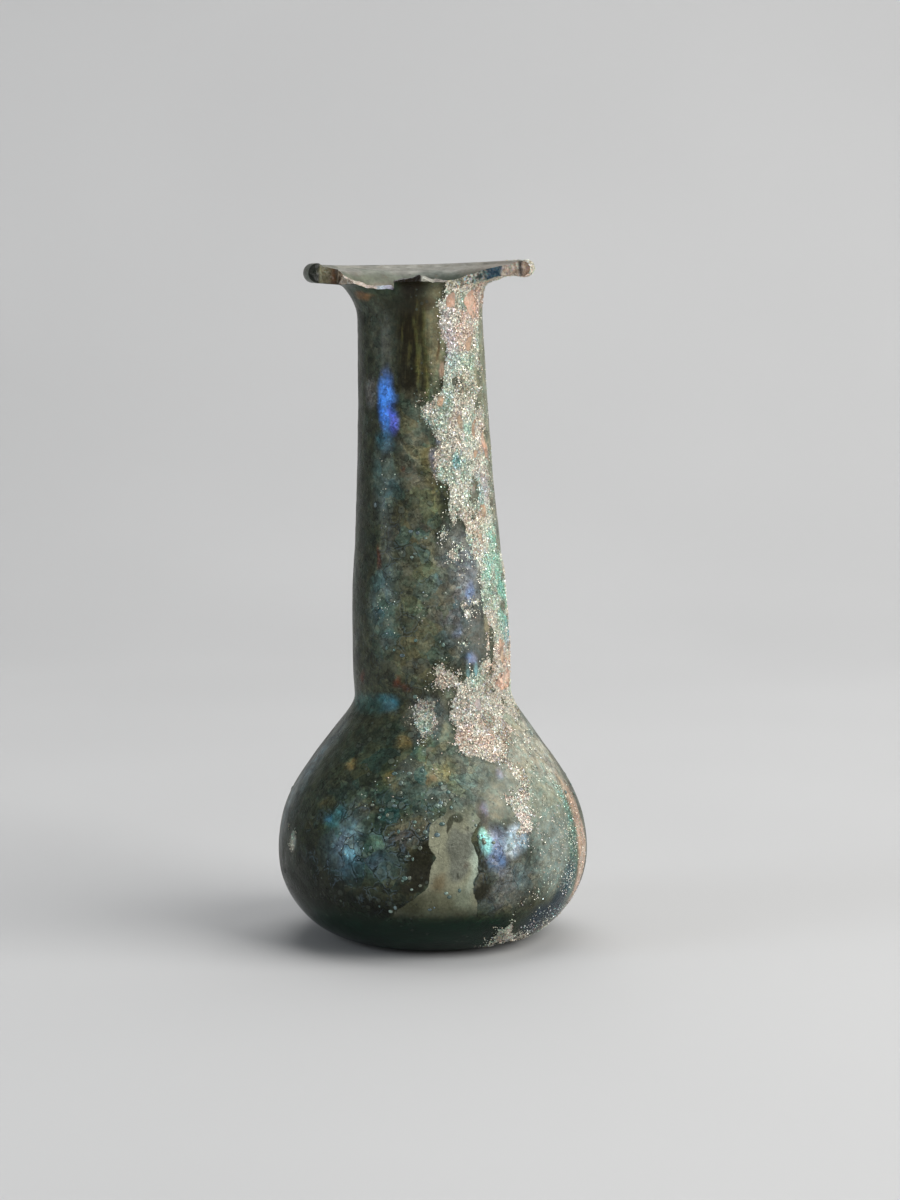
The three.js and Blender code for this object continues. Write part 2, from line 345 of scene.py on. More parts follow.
def cutter(name, edge, far_edge, levels, axes, seed, shape=None):
    """A closed prism whose one long side follows the edge, roughened as broken glass is. The edge lies in
    the plane of the first two axes, and the levels are the steps along the third."""
    section = np.vstack([edge, far_edge])
    places = np.zeros((len(levels), len(section), 3))
    places[:, :, axes[0]] = section[:, 0]
    places[:, :, axes[1]] = section[:, 1]
    places[:, :, axes[2]] = np.array(levels)[:, None]
    rough = places[:, : len(edge)]
    flat = rough.reshape(-1, 3)
    for axis, own_seed in ((axes[0], seed), (axes[1], seed + 1)):
        shift = 0.16 * noise(flat, 1.3, own_seed) + 0.09 * noise(flat, 0.5, own_seed + 7)
        rough[:, :, axis] += shift.reshape(rough.shape[:2])
    if shape is not None:
        rough[:] = shape(rough.reshape(-1, 3)).reshape(rough.shape)
    count = len(section)
    faces = [tuple(range(count)), tuple(range(len(levels) * count - 1, (len(levels) - 1) * count - 1, -1))]
    for level in range(len(levels) - 1):
        for corner in range(count):
            after = (corner + 1) % count
            low, high = level * count, (level + 1) * count
            faces.append((low + corner, high + corner, high + after, low + after))
    mesh = make_mesh(name, places.reshape(-1, 3), faces, [BROKEN] * len(faces))
    return add_object(name, mesh)


def break_cutters():
    """The two shapes that take away the lost front: of the flange and of the throat."""
    middle = np.array([RIM_MIDDLE, 0])
    flange_line = resampled([(-BREAK_REACH, -7.6), *FLANGE_BREAK, (BREAK_REACH, -5.4)], CHIP_STEP) + middle
    flange_far = np.array([(BREAK_REACH, -BREAK_REACH), (-BREAK_REACH, -BREAK_REACH)]) + middle
    flange_levels = [*np.arange(FLANGE_BREAK_BOTTOM, 111, CHIP_STEP), BREAK_TOP]
    flange = cutter("flange_cutter", flange_line, flange_far, flange_levels, (0, 1, 2), 11)

    throat_line = resampled(THROAT_BREAK, CHIP_STEP) + middle
    throat_far = np.array([(THROAT_BREAK[-1][0], BREAK_TOP), (THROAT_BREAK[0][0], BREAK_TOP)]) + middle
    throat_levels = [-BREAK_REACH, *np.arange(-15, THROAT_BREAK_BACK, CHIP_STEP), THROAT_BREAK_BACK]
    throat = cutter("throat_cutter", throat_line, throat_far, throat_levels, (0, 2, 1), 17, bevelled)
    return [flange, throat]


def broken_vessel(materials):
    """The vessel with its lost front cut away, as a new object."""
    turned = turned_vessel()
    whole = add_object("weathered_vessel", turned)
    cutters = break_cutters()
    for shape in [whole, *cutters]:
        for material in materials:
            shape.data.materials.append(material)
    for made in cutters:
        modifier = whole.modifiers.new(made.name, "BOOLEAN")
        modifier.operation = "DIFFERENCE"
        modifier.solver = "MANIFOLD"
        modifier.object = made
    depsgraph = bpy.context.evaluated_depsgraph_get()
    cut = bpy.data.meshes.new_from_object(whole.evaluated_get(depsgraph))
    whole.modifiers.clear()
    whole.data = cut
    bpy.data.meshes.remove(turned)
    for made in cutters:
        bpy.data.objects.remove(made)
    return whole


# ---------------------------------------------------------------- where things are on the surface

class Surface:
    """Places on the vessel in mm, each with its turn, its height and its distance from the axis."""

    def __init__(self, places):
        upright = lean_by(places, -1)
        self.places = places
        self.turn = np.degrees(np.arctan2(upright[:, 0], -upright[:, 1]))
        self.height = upright[:, 2]
        self.radius = np.hypot(upright[:, 0], upright[:, 1])
        self.per_degree = np.maximum(self.radius, 4) * math.pi / 180
        drift = 0.9 * noise(places, 4.5, 31) + 0.45 * noise(places, 1.7, 32)
        lift = 0.8 * noise(places, 4.0, 33) + 0.4 * noise(places, 1.5, 34)
        self.ragged_turn = self.turn + drift / self.per_degree
        self.ragged_height = self.height + lift

    def reach(self, turn, height, wide, tall):
        """How far inside a ragged oval each place is, in mm, and negative outside it. The oval reaches wide
        degrees to each side and tall mm up and down."""
        across = (self.ragged_turn - turn + 180) % 360 - 180
        away = np.hypot(across / wide, (self.ragged_height - height) / tall)
        size = np.minimum(wide * self.per_degree, tall)
        return (1 - away) * size

    def spot(self, turn, height, wide, tall, soft=0.5):
        """1 inside such an oval, fading to 0 outside it. A soft of 1 fades from the middle out."""
        across = (self.ragged_turn - turn + 180) % 360 - 180
        away = np.hypot(across / wide, (self.ragged_height - height) / tall)
        return 1 - smoothstep(away, 1 - soft, 1 + soft)


def painted(surface, ground, spots):
    """Colours built up from a ground colour and a list of (turn, height, wide, tall, strength, colour)."""
    colours = np.tile(paint(ground), (len(surface.turn), 1))
    for turn, height, wide, tall, strength, colour in spots:
        share = (strength * surface.spot(turn, height, wide, tall))[:, None]
        colours = colours * (1 - share) + paint(colour) * share
    return colours


def summed(surface, spots):
    """The strongest of several (turn, height, wide, tall, strength) spots at each place."""
    total = np.zeros(len(surface.turn))
    for turn, height, wide, tall, strength in spots:
        total = np.maximum(total, strength * surface.spot(turn, height, wide, tall))
    return total


def joined(surface, ovals):
    """How far inside the nearest of several (turn, height, wide, tall) ovals each place is, in mm."""
    return np.max([surface.reach(*oval) for oval in ovals], axis=0)


# Colours as they look in soft daylight: red, green and blue from 0 to 255.
OLIVE = (62, 66, 50)
DARK_OLIVE = (48, 52, 38)
BOTTLE = (3, 34, 21)
TEAL_FILM_AND_SHEEN = (92, 110, 105)
TEAL = (58, 92, 88)
SEA_FILM_AND_SHEEN = (60, 108, 122)
BLUE_IRIDESCENT_HIGHLIGHT = (70, 134, 232)
VIOLET_IRIDESCENT_HIGHLIGHT = (106, 98, 216)
STAIN = (40, 35, 20)
MOSS = (100, 98, 56)
STRAW = (116, 114, 86)
WINDOW = (140, 136, 106)
KHAKI = (116, 117, 99)
SMEAR = (122, 120, 116)
SLATE = (98, 101, 98)
LAVENDER = (128, 128, 150)
RUST = (96, 52, 36)
ORANGE = (120, 84, 48)
OCHRE = (124, 112, 76)
SAGE = (112, 120, 107)
PALE_SAGE = (156, 155, 142)
DUST = (126, 136, 128)
BLUE_GREY_FILM_AND_SHEEN = (74, 98, 104)
MIST_FILM_AND_SHEEN = (110, 134, 150)
MAUVE = (104, 106, 102)
CREAM = (146, 147, 124)
BUFF = (86, 88, 66)
BARK = (38, 38, 26)
ISLAND = (98, 102, 94)
IRIS = (126, 138, 168)
ICE = (140, 196, 190)
NAVY = (30, 48, 62)
SHELL = (172, 146, 128)
PEARL = (226, 222, 204)
BLUSH = (240, 202, 180)
FOAM = (156, 232, 208)
SKY = (186, 206, 222)
AQUA = (70, 200, 212)
SILVER = (190, 188, 176)

FILM_SPOTS = [
    # The neck, from its dark left side to the edge of the crust.
    (-70, 75, 26, 34, 0.7, (54, 60, 48)),
    (-35, 98, 14, 6, 0.6, (76, 80, 68)),
    # The teal spots below, down the left of the neck: film colour, partly a painted reflection of the window
    # light on the left.
    (-36, 75, 12, 5, 0.8, TEAL_FILM_AND_SHEEN),
    (-35, 56, 12, 7, 0.8, TEAL_FILM_AND_SHEEN),
    (-34, 66, 8, 2.5, 0.7, (96, 98, 84)),
    (-32, 55.5, 7, 1.6, 0.7, TEAL),
    (-32, 51, 10, 0.7, 0.7, TEAL),
    (-9, 56, 7, 2.2, 0.6, TEAL),
    # The blue, violet and sea-blue streak high on the left of the neck: iridescent film colour, partly a
    # painted highlight where the window light on the left reflects.
    (-33, 87.8, 7.5, 4.4, 0.9, BLUE_IRIDESCENT_HIGHLIGHT),
    (-29, 85, 3.5, 1.8, 0.6, VIOLET_IRIDESCENT_HIGHLIGHT),
    (-35, 82.3, 9, 1.6, 0.6, SEA_FILM_AND_SHEEN),
    (85, 75, 44, 34, 0.85, (116, 116, 100)),
    (74, 92, 14, 16, 0.8, (116, 118, 98)),
    (-51, 89.5, 9, 2.0, 0.8, SMEAR),
    (-4, 80, 17, 10, 0.8, KHAKI),
    (4, 75, 4.5, 7, 0.9, STRAW),
    (-6, 60, 18, 11, 0.7, KHAKI),
    (-12, 101, 12, 5, 0.95, STAIN),
    (-13, 95, 8, 6, 0.7, STAIN),
    (-2, 97, 5, 9, 0.7, (66, 62, 38)),
    (-6, 96, 2, 5, 0.6, MOSS),
    (3, 95, 3, 8, 0.7, MOSS),
    (13, 98.5, 8.5, 7.5, 0.95, WINDOW),
    (14, 96.8, 1.2, 2.2, 0.8, (92, 68, 40)),
    (9, 103.8, 8, 1.0, 0.7, (66, 54, 36)),
    (-50, 106.3, 46, 2.2, 0.85, (52, 64, 48)),
    (-50, 104.8, 10, 0.6, 0.8, ORANGE),
    (-22, 103.5, 14, 1.6, 0.8, (46, 48, 34)),
    (-5, 107, 12, 2.2, 0.9, (34, 27, 16)),
    (12, 82.5, 3, 1.2, 0.8, LAVENDER),
    (10, 78.5, 2.6, 2.0, 0.8, LAVENDER),
    (10, 73, 3, 2.5, 0.7, DARK_OLIVE),
    (10, 68, 7, 4, 0.5, DARK_OLIVE),
    (20, 60, 14, 8, 0.9, SLATE),
    (34, 55, 12, 10, 0.8, SLATE),
    (32, 61, 10, 5, 0.6, (124, 130, 134)),
    (33, 57, 3.5, 1.6, 0.9, IRIS),
    (22, 51.5, 4, 0.9, 0.9, IRIS),
    (30.5, 46.8, 5, 0.8, 0.9, IRIS),
    (18, 51, 8, 5, 0.6, SLATE),
    (-12, 47, 20, 4, 0.7, (92, 94, 76)),
    (-42, 63.5, 2.2, 1.7, 0.8, RUST),
    (-58, 44, 3.5, 1.0, 0.7, RUST),
    (-26, 43, 3.0, 0.7, 0.8, RUST),
    (-20, 42.4, 4.0, 0.5, 0.6, RUST),
    (-18, 77.5, 2.6, 0.5, 0.7, RUST),
    # The nip and the shoulder.
    # The sea-blue spot at the nip: iridescent film colour, partly a painted highlight where the window light
    # on the left reflects.
    (-37, 40, 8, 1.3, 1.0, SEA_FILM_AND_SHEEN),
    (-60, 39.6, 26, 1.6, 0.7, TEAL),
    (-62, 30, 34, 7, 0.6, (50, 58, 46)),
    # A painted sheen along the left edge of the shoulder.
    (-76, 26, 9, 9, 0.6, (110, 122, 126)),
    (-25, 33, 20, 4, 0.6, (50, 62, 52)),
    (-4, 38, 14, 3.0, 0.85, (104, 108, 104)),
    (14, 41, 8, 1.6, 0.8, (100, 102, 86)),
    (20, 29.5, 32, 5.5, 0.9, SAGE),
    (24, 31.5, 10, 1.6, 0.6, (92, 96, 82)),
    (60, 31, 26, 6.5, 0.95, PALE_SAGE),
    (50, 24, 14, 5, 0.9, (142, 148, 132)),
    (-42, 30.2, 3.4, 0.7, 0.8, OCHRE),
    (-21, 29.5, 2.6, 0.9, 0.8, OCHRE),
    (-17, 28.0, 3.4, 0.9, 0.7, OCHRE),
    (-17, 34.6, 4, 0.8, 0.7, OCHRE),
    (-3, 33.4, 5, 1.7, 0.8, (122, 122, 88)),
    (-2.5, 33.4, 2.6, 0.9, 0.8, (106, 108, 96)),
    (8, 30.8, 4, 1.8, 0.7, (132, 130, 96)),
    (1.5, 29.2, 1.8, 0.7, 0.6, (132, 110, 86)),
    (-2, 28.6, 1.8, 0.6, 0.6, (126, 108, 88)),
    (30, 29.6, 2, 0.9, 0.8, (166, 166, 180)),
    # The body.
    (-30, 24, 22, 3.5, 0.5, (46, 74, 70)),
    (-10, 26, 16, 3, 0.4, (58, 88, 82)),
    # The blue-grey haze on the left of the body, down to the spot at (-33, 15.2): film colour, partly a
    # painted reflection of the window light on the left.
    (-33, 18, 11, 4.5, 0.85, BLUE_GREY_FILM_AND_SHEEN),
    (-18, 17.5, 8, 4.0, 0.7, (66, 84, 82)),
    (-42, 22.2, 3.6, 0.9, 0.9, SEA_FILM_AND_SHEEN),
    (-37, 23.6, 3.4, 0.8, 0.9, SEA_FILM_AND_SHEEN),
    (-36, 19.4, 3.6, 1.8, 0.8, MIST_FILM_AND_SHEEN),
    (-31, 21.6, 2.8, 1.6, 0.8, (96, 126, 134)),
    # A painted highlight, the brightest part of that reflection.
    (-30.5, 18.0, 3.4, 1.6, 0.8, (140, 170, 180)),
    (-21, 19.6, 4.5, 1.9, 0.8, (80, 106, 92)),
    (-18.5, 16.4, 4.5, 1.8, 0.8, (72, 94, 98)),
    (-33, 15.2, 3.0, 1.5, 0.7, (84, 102, 112)),
    (-46, 24.8, 5, 1.1, 0.7, (78, 74, 50)),
    (-25, 25.4, 4, 1.0, 0.7, (78, 76, 54)),
    (-50, 15.4, 7, 0.6, 0.8, (18, 34, 28)),
    (-8, 21.8, 8, 2.6, 0.85, (86, 86, 78)),
    (28, 12.6, 12, 4.0, 0.9, MAUVE),
    (20, 12.2, 4, 2.4, 0.7, (66, 66, 56)),
    (25, 18.6, 5.5, 3.4, 0.8, IRIS),
    (27.5, 16.9, 2.0, 1.0, 0.9, (96, 128, 180)),
    # A painted highlight on the film, facing the window light on the right.
    (33.5, 19.6, 4.5, 2.0, 0.9, (176, 192, 208)),
    (17.4, 20.6, 2.0, 1.1, 0.95, ICE),
    (19.8, 19.2, 2.2, 1.6, 0.95, ICE),
    (20, 24.2, 2.4, 2.2, 0.9, (82, 78, 68)),
    (21.8, 24.9, 1.7, 0.7, 0.9, (150, 142, 160)),
    (27, 25.4, 4.5, 2.0, 0.8, (150, 148, 128)),
    (52, 17, 11, 6.5, 0.9, DUST),
    # Darker towards the lower left, on this line and the next two: painted shade.
    (-45, 9, 40, 3.6, 0.9, (14, 20, 10)),
    (-60, 14, 20, 9, 0.6, (22, 30, 20)),
    (-58, 12, 26, 4.5, 0.8, (20, 26, 14)),
    (-66, 20, 9, 8, 0.6, (44, 52, 42)),
    (-64, 17.2, 2.0, 1.1, 0.9, SILVER),
    (-58.5, 5.8, 1.6, 0.5, 0.8, RUST),
    (54, 5.6, 14, 2.4, 0.95, NAVY),
    (58, 8.6, 6, 2.0, 0.9, (26, 44, 54)),
    (65, 17, 3.5, 10, 0.6, (92, 122, 112)),
    (61, 11.5, 4, 2.4, 0.8, (30, 66, 78)),
    (75, 15, 5.5, 11, 1.0, SHELL),
    # The far side, plainer.
    (130, 70, 40, 40, 0.6, (92, 96, 80)),
    (150, 20, 40, 12, 0.6, (84, 96, 88)),
    (-135, 60, 36, 30, 0.5, (66, 74, 62)),
    (-140, 20, 30, 9, 0.5, BLUE_GREY_FILM_AND_SHEEN),
    (170, 88, 14, 8, 0.6, TEAL_FILM_AND_SHEEN),
    (-160, 32, 20, 5, 0.6, OCHRE),
]

# The dark layer that shows where the skin has flaked off, and the grey skin left on the pale layer beside it.
BARE_OVALS = [
    (-5, 16.2, 5.6, 3.4), (-3.4, 18.4, 3.6, 2.0), (-6.5, 12.9, 5.5, 1.5), (19.4, 12.0, 3.4, 2.0),
    (19.6, 15.2, 1.8, 1.2),
]
ISLAND_OVALS = [(9, 18.8, 5.2, 2.8), (8.4, 16.0, 4.6, 1.8), (11.5, 20.4, 3, 1.4)]
# Small dark marks on the pale layer: a lobed hollow, a wavering crack and some specks.
MARK_OVALS = [
    (9.0, 23.0, 2.6, 0.9), (6.6, 22.2, 1.4, 0.9), (5.4, 21.2, 0.6, 0.5), (12.2, 22.0, 0.6, 0.3),
    (13.2, 21.2, 0.5, 0.4),
    (14.2, 20.5, 0.7, 0.25), (8.2, 15.5, 0.6, 0.3), (8.9, 14.8, 0.5, 0.25), (13.2, 15.9, 0.7, 0.22),
]
PALE_LEFT = [
    (7.5, -16), (8.8, -13.8), (10.6, -8), (12.1, -2.8), (14, -0.5), (16.1, -0.8), (17.3, 0.8), (19, -0.8),
    (21.2, -2),
    (22.9, 0.2), (24.1, 4.5), (25.5, 6), (27, 8),
]
PALE_RIGHT = [
    (7.5, 17.5), (8.7, 17.2), (10.5, 16.8), (11.9, 15), (13.4, 14.2), (14.9, 17), (16.8, 17),
    (18.6, 15.2), (20.4, 14.5),
    (22, 17.5), (23.1, 19), (24.5, 16), (26, 15), (27, 14),
]
PALE_SPOTS = [
    (4, 10, 14, 2.8, 0.8, BUFF), (-9, 9.6, 6, 1.8, 0.8, (62, 64, 42)),
    (1.8, 14, 2.6, 1.6, 0.7, (112, 96, 66)),
    (12, 11, 4.5, 2.6, 0.8, (126, 134, 114)), (15.2, 17.6, 2.6, 4.4, 1.0, (174, 188, 170)),
    (17, 22.6, 3.4, 1.8, 0.8, (156, 164, 144)), (11, 26, 9, 1.6, 0.8, SAGE),
    (11, 16.3, 0.8, 0.4, 0.9, (120, 84, 44)),
]

# How strongly the skin shines with colour, as (turn, height, wide, tall, strength).
SHINE_SPOTS = [
    (-32, 88, 9, 4.6, 1.0), (-37, 40, 9, 1.5, 0.9), (-32, 55.5, 10, 3, 0.5), (-36, 75, 11, 5, 0.4),
    (-30, 18.5, 12, 4, 0.5), (-40, 22.6, 8, 1.4, 0.3), (27, 18.5, 7, 3.4, 0.5), (19, 20.2, 4, 2.0, 0.6),
    (33, 57, 4, 1.6, 0.4), (22, 51.5, 4, 1.1, 0.4), (30.5, 46.8, 5, 1.1, 0.4), (10, 80, 4, 3, 0.3),
    (54, 5.6, 14, 2.6, 0.6), (62, 13, 5, 3.0, 0.6), (-76, 26, 8, 8, 0.3), (-140, 20, 26, 8, 0.5),
    (170, 88, 14, 8, 0.5),
]
CRACK_SPOTS = [
    (-26, 18, 26, 8, 1.0), (-8, 22, 12, 5, 0.9), (24, 15, 12, 6, 0.5), (-20, 56, 30, 14, 0.6),
    (-140, 20, 30, 9, 0.7),
]
# How much the skin is broken into plates of different colours.
PLATE_SPOTS = [
    (-25, 19, 34, 11, 1.0), (-15, 30, 34, 6, 0.9), (-10, 64, 44, 28, 0.8), (25, 14, 16, 8, 0.7),
    (-60, 70, 40, 40, 0.4), (180, 50, 110, 60, 0.7),
]
STREAK_SPOTS = [
    (-9, 97, 14, 9, 0.8), (3, 95, 4, 9, 0.6), (-70, 88, 20, 18, 0.35), (10, 80, 10, 9, 0.35),
    (13, 99, 7, 6, 0.25),
]
# Where the skin has small ring-shaped blisters.
RING_SPOTS = [
    (-14, 62, 40, 20, 0.9), (-12, 30, 34, 8, 0.9), (-15, 18, 34, 9, 0.8), (12, 50, 14, 7, 0.6),
    (28, 14, 12, 5, 0.5), (180, 50, 110, 50, 0.6),
]

# The turn at which the crust begins, at each height on the right of the front, and where it ends behind.
CRUST_STARTS = [
    (0, 190), (30, 190), (31, 34), (32, 17), (34, 14), (36, 12), (38, 9), (40, 11), (42, 18),
    (44, 24), (47, 41), (52, 44), (60, 41), (66, 25), (70, 15), (76, 10), (82, 12), (84, -5), (87, -8),
    (90, 15), (96, 20), (110, 21),
]
CRUST_ENDS = [
    (0, 180), (30, 180), (31, 42), (33, 47), (35, 58), (38, 90), (42, 118), (48, 140), (56, 124),
    (61, 92), (64, 72),
    (80, 67), (98, 64), (103, 84), (106, 112), (110, 130),
]
CRUST_OVALS = [
    # On the neck: the edge of the crust breaks up into clumps.
    (22, 64, 2.8, 0.8), (32, 59.6, 2.6, 0.7), (31, 53.6, 4.6, 1.1), (38.5, 55.4, 4, 1.2),
    (28, 54.7, 2, 0.5), (31, 45.3, 7, 0.5),
    (13, 66.2, 1.6, 0.5), (25, 49, 3, 0.6), (36, 50, 4, 0.9),
    # On the shoulder and down the right of the body.
    (9, 43.8, 12, 2.0), (20, 41.5, 7, 2.0), (-3, 38, 15, 2.9), (38, 32.5, 6, 2.2), (40, 30.5, 5.5, 2.3),
    (42.5, 28.4, 5, 2.3),
    (41, 26, 5.4, 2.4), (37.5, 23, 5.6, 3.2), (36.5, 20.6, 4.4, 2.0), (33, 4.0, 5, 1.9),
    (42, 2.4, 11, 1.2), (60, 1.4, 14, 0.9),
    (-64, 17.2, 2.2, 1.2), (56, 36, 5, 1.4), (62, 33.5, 4, 1.4),
    # Behind.
    (120, 80, 20, 16), (-170, 22, 14, 4), (150, 8, 12, 3), (-120, 84, 9, 4), (-110, 50, 7, 3),
]
CRUST_SPOTS = [
    (62, 47, 30, 5, 0.9, BLUSH), (34, 35, 22, 2.6, 0.85, BLUSH), (64, 104, 30, 4, 0.8, BLUSH),
    (-3, 38, 14, 2.8, 0.9, SILVER), (9, 43.7, 12, 2.0, 0.6, (214, 210, 192)),
    (20, 39.5, 12, 3.4, 0.6, (196, 194, 184)),
    (2, 85.5, 10, 2.4, 0.8, (150, 144, 142)), (18, 78, 7, 7, 0.5, (190, 176, 156)),
    (62, 62, 15, 7, 0.9, FOAM), (72, 55, 9, 5, 0.95, (96, 200, 176)),
    (78, 49.5, 9, 2.2, 0.9, (70, 190, 204)),
    (54, 73.5, 9, 3.2, 0.9, SKY), (26, 78.6, 4.5, 1.6, 0.95, AQUA), (48, 81, 8, 1.6, 0.5, FOAM),
    (26, 101, 6, 2.2, 0.8, SKY), (45, 84.5, 6, 2, 0.8, FOAM), (50, 92, 14, 5, 0.5, (196, 198, 160)),
    (62, 80, 8, 4, 0.7, (220, 186, 156)), (40, 68, 12, 3, 0.5, (226, 204, 176)),
    (30, 96, 10, 4, 0.6, (216, 200, 214)), (46, 100, 12, 5, 0.7, BLUSH),
    (55, 69.5, 6, 1.4, 0.7, (220, 180, 146)),
    # The near-white spot at (38, 22.5) is a painted highlight, where the window light on the right falls
    # strongest.
    (38, 22.5, 7, 4.4, 0.95, (255, 252, 246)), (36, 26, 6, 2.6, 0.7, BLUSH),
    (42, 29, 6, 2.4, 0.5, (216, 206, 170)),
    (66, 26, 4, 4, 0.9, (130, 240, 232)), (66, 18, 5, 5, 0.9, (90, 226, 190)),
    (61.5, 12, 6, 2.6, 0.95, (60, 176, 200)),
    (54, 5.4, 14, 2.2, 0.8, (110, 160, 190)), (34, 3.2, 9, 2, 0.8, (176, 160, 152)),
    # The teal tints on this line and the next colour sparse grains on the left of the neck and body: grain
    # colour, partly painted glints.
    (-34, 62, 14, 20, 0.9, (120, 170, 160)), (-9, 56, 8, 3, 0.9, (90, 160, 160)),
    (-30, 19, 20, 7, 0.9, (120, 190, 200)),
    (-12, 27, 20, 5, 0.8, (130, 170, 150)), (76, 15, 7, 11, 0.9, (224, 196, 172)),
    (120, 80, 26, 20, 0.4, BLUSH),
]
# Clouds in the crust's colour, as (size in mm, seed, strength, colour).
CRUST_CLOUDS = [
    (4.2, 45, 0.35, BLUSH), (2.2, 46, 0.7, (128, 128, 104)), (3.2, 47, 0.4, FOAM),
    (1.3, 48, 0.75, (250, 246, 228)),
]
# Smooth places in the crust, where few grains grow, as (turn, height, wide, tall, colour).
TAN = (172, 146, 124)
PINK = (190, 156, 136)
SMOOTH_PATCHES = [
    (18, 88, 5, 1.2, TAN), (34, 84.8, 4.4, 1.9, TAN), (52, 83, 3.2, 2.6, TAN), (64, 79.6, 4, 2.6, PINK),
    (50, 79, 4, 1.2, TAN),
    (22, 92.5, 4, 1.4, TAN), (55, 70, 3.6, 1.5, TAN), (46, 66.5, 3, 0.9, TAN), (52, 97, 5, 1.3, TAN),
    (32, 103.4, 7, 1.6, PINK),
    (54, 103, 10, 2.2, PINK), (60, 92, 3, 1.8, (150, 150, 124)), (44, 74, 2.4, 1.2, (150, 140, 128)),
    (62, 47.5, 5, 2.4, PINK), (70, 42.4, 17, 1.9, PINK), (34, 39.3, 3.6, 1.5, (170, 152, 146)),
    (25.5, 44.7, 1.9, 1.2, (122, 156, 156)), (34, 44.6, 2.2, 1.5, (128, 166, 170)),
    (9, 35.2, 3.2, 1.8, (120, 124, 106)),
    (60, 36.6, 7, 1.0, (150, 152, 136)), (72, 96, 5, 9, (120, 122, 102)),
    (13, 41, 4, 0.5, (112, 114, 96)),
    (48, 52, 2.4, 1.8, (140, 134, 110)), (43, 62, 2.6, 1.2, (146, 150, 142)),
]

# How clear the glass itself is, where the skin is thin.
CLEAR_SPOTS = [
    (-20, 3.5, 58, 4.2, 1.0), (-150, 4, 60, 4, 1.0), (-72, 70, 20, 40, 0.4), (12, 100, 8, 5, 0.5),
    (-100, 100, 50, 8, 0.5),
]

# The sparse fine grains and the bright line of them on the right of the body.
FINE_GRAIN_SPOTS = [
    (52, 18, 11, 7, 0.3), (66, 25, 4.2, 4.4, 1.0), (65, 18, 4.6, 5, 1.0), (60.5, 11.8, 5, 2.6, 1.0),
    (54, 5.2, 12, 2.0, 0.4),
    (20, 20, 4, 2.0, 0.2), (52, 29, 12, 4, 0.15), (24, 97, 8, 8, 0.12), (14, 90, 8, 5, 0.15),
    (0, 87, 9, 3, 0.25),
    (-8, 27, 20, 6, 0.05), (43, 10.6, 4.4, 1.2, 0.3), (36, 8.6, 2.6, 0.7, 0.3), (44, 6.8, 2, 0.6, 0.3),
    (75, 15, 5, 10, 0.25),
    (74, 88, 12, 20, 0.1), (68, 30, 8, 7, 0.15), (-34, 75, 8, 6, 0.08), (-33, 56, 8, 4, 0.14),
    (-9, 56, 5, 2, 0.1),
    (-30, 18.4, 6, 2, 0.15), (36, 19.2, 4, 1.4, 0.3), (54, 33, 8, 2, 0.3), (60, 41, 24, 3, 0.12),
]


def smooth_reach(surface):
    """How far inside the crust's smooth places each place is, in mm, and negative outside them."""
    return joined(surface, [patch[:4] for patch in SMOOTH_PATCHES])


def pale_reach(surface):
    """How far inside the pale layer each place is, in mm, and negative outside it."""
    left_at, left = zip(*PALE_LEFT)
    right_at, right = zip(*PALE_RIGHT)
    turn = surface.turn + 0.35 * noise(surface.places, 1.6, 35) / surface.per_degree
    from_left = turn - np.interp(surface.height, left_at, left)
    to_right = np.interp(surface.height, right_at, right) - turn
    inside = np.minimum(from_left, to_right) * surface.per_degree
    return np.clip(np.minimum(inside, np.minimum(surface.height - 7, 27.5 - surface.height)), -3, 3)


def crust_reach(surface):
    """How far inside the crust each place is, in mm, and negative outside it."""
    starts_at, starts = zip(*CRUST_STARTS)
    ends_at, ends = zip(*CRUST_ENDS)
    height = surface.height + 0.6 * noise(surface.places, 2.4, 41)
    from_start = surface.ragged_turn - np.interp(height, starts_at, starts)
    to_end = np.interp(height, ends_at, ends) - surface.ragged_turn
    inside = np.minimum(from_start, to_end) * surface.per_degree
    inside = np.maximum(np.clip(inside, -4, 3), joined(surface, CRUST_OVALS))
    inside += 0.9 * noise(surface.places, 3.0, 42) + 0.8 * noise(surface.places, 1.1, 43)
    inside -= 2.6 * smoothstep(noise(surface.places * (1, 1, 0.6), 2.4, 44), 0.32, 0.62)
    return np.clip(inside, -4, 4)


def crust_colours(surface):
    """The crust's colour, clouded with pink, silver and green, with a painted highlight on the right of the
    body and painted teal glints on the left.
    """
    colours = painted(surface, PEARL, CRUST_SPOTS)
    for size, seed, strength, colour in CRUST_CLOUDS:
        share = (strength * smoothstep(noise(surface.places, size, seed), 0.05, 0.5))[:, None]
        colours = colours * (1 - share) + paint(colour) * share
    return colours


def film_colours(surface):
    """The colour of the weathered skin, with painted reflections, painted highlights and painted shade in
    places, and the clear dark glass that shows at the foot.
    """
    colours = painted(surface, OLIVE, FILM_SPOTS)
    rising = surface.height + 0.8 * noise(surface.places, 5, 51)
    right = smoothstep(surface.turn, 26, 44) * (1 - smoothstep(surface.turn, 96, 120))
    foot = ((1 - smoothstep(rising, 5.6, 8.8)) * (1 - 0.85 * right))[:, None]
    colours = colours * (1 - foot) + paint(BOTTLE) * foot
    for *oval, colour in SMOOTH_PATCHES:
        smooth = smoothstep(surface.reach(*oval), -0.2, 0.3)[:, None]
        colours = colours * (1 - smooth) + paint(colour) * smooth
    return colours


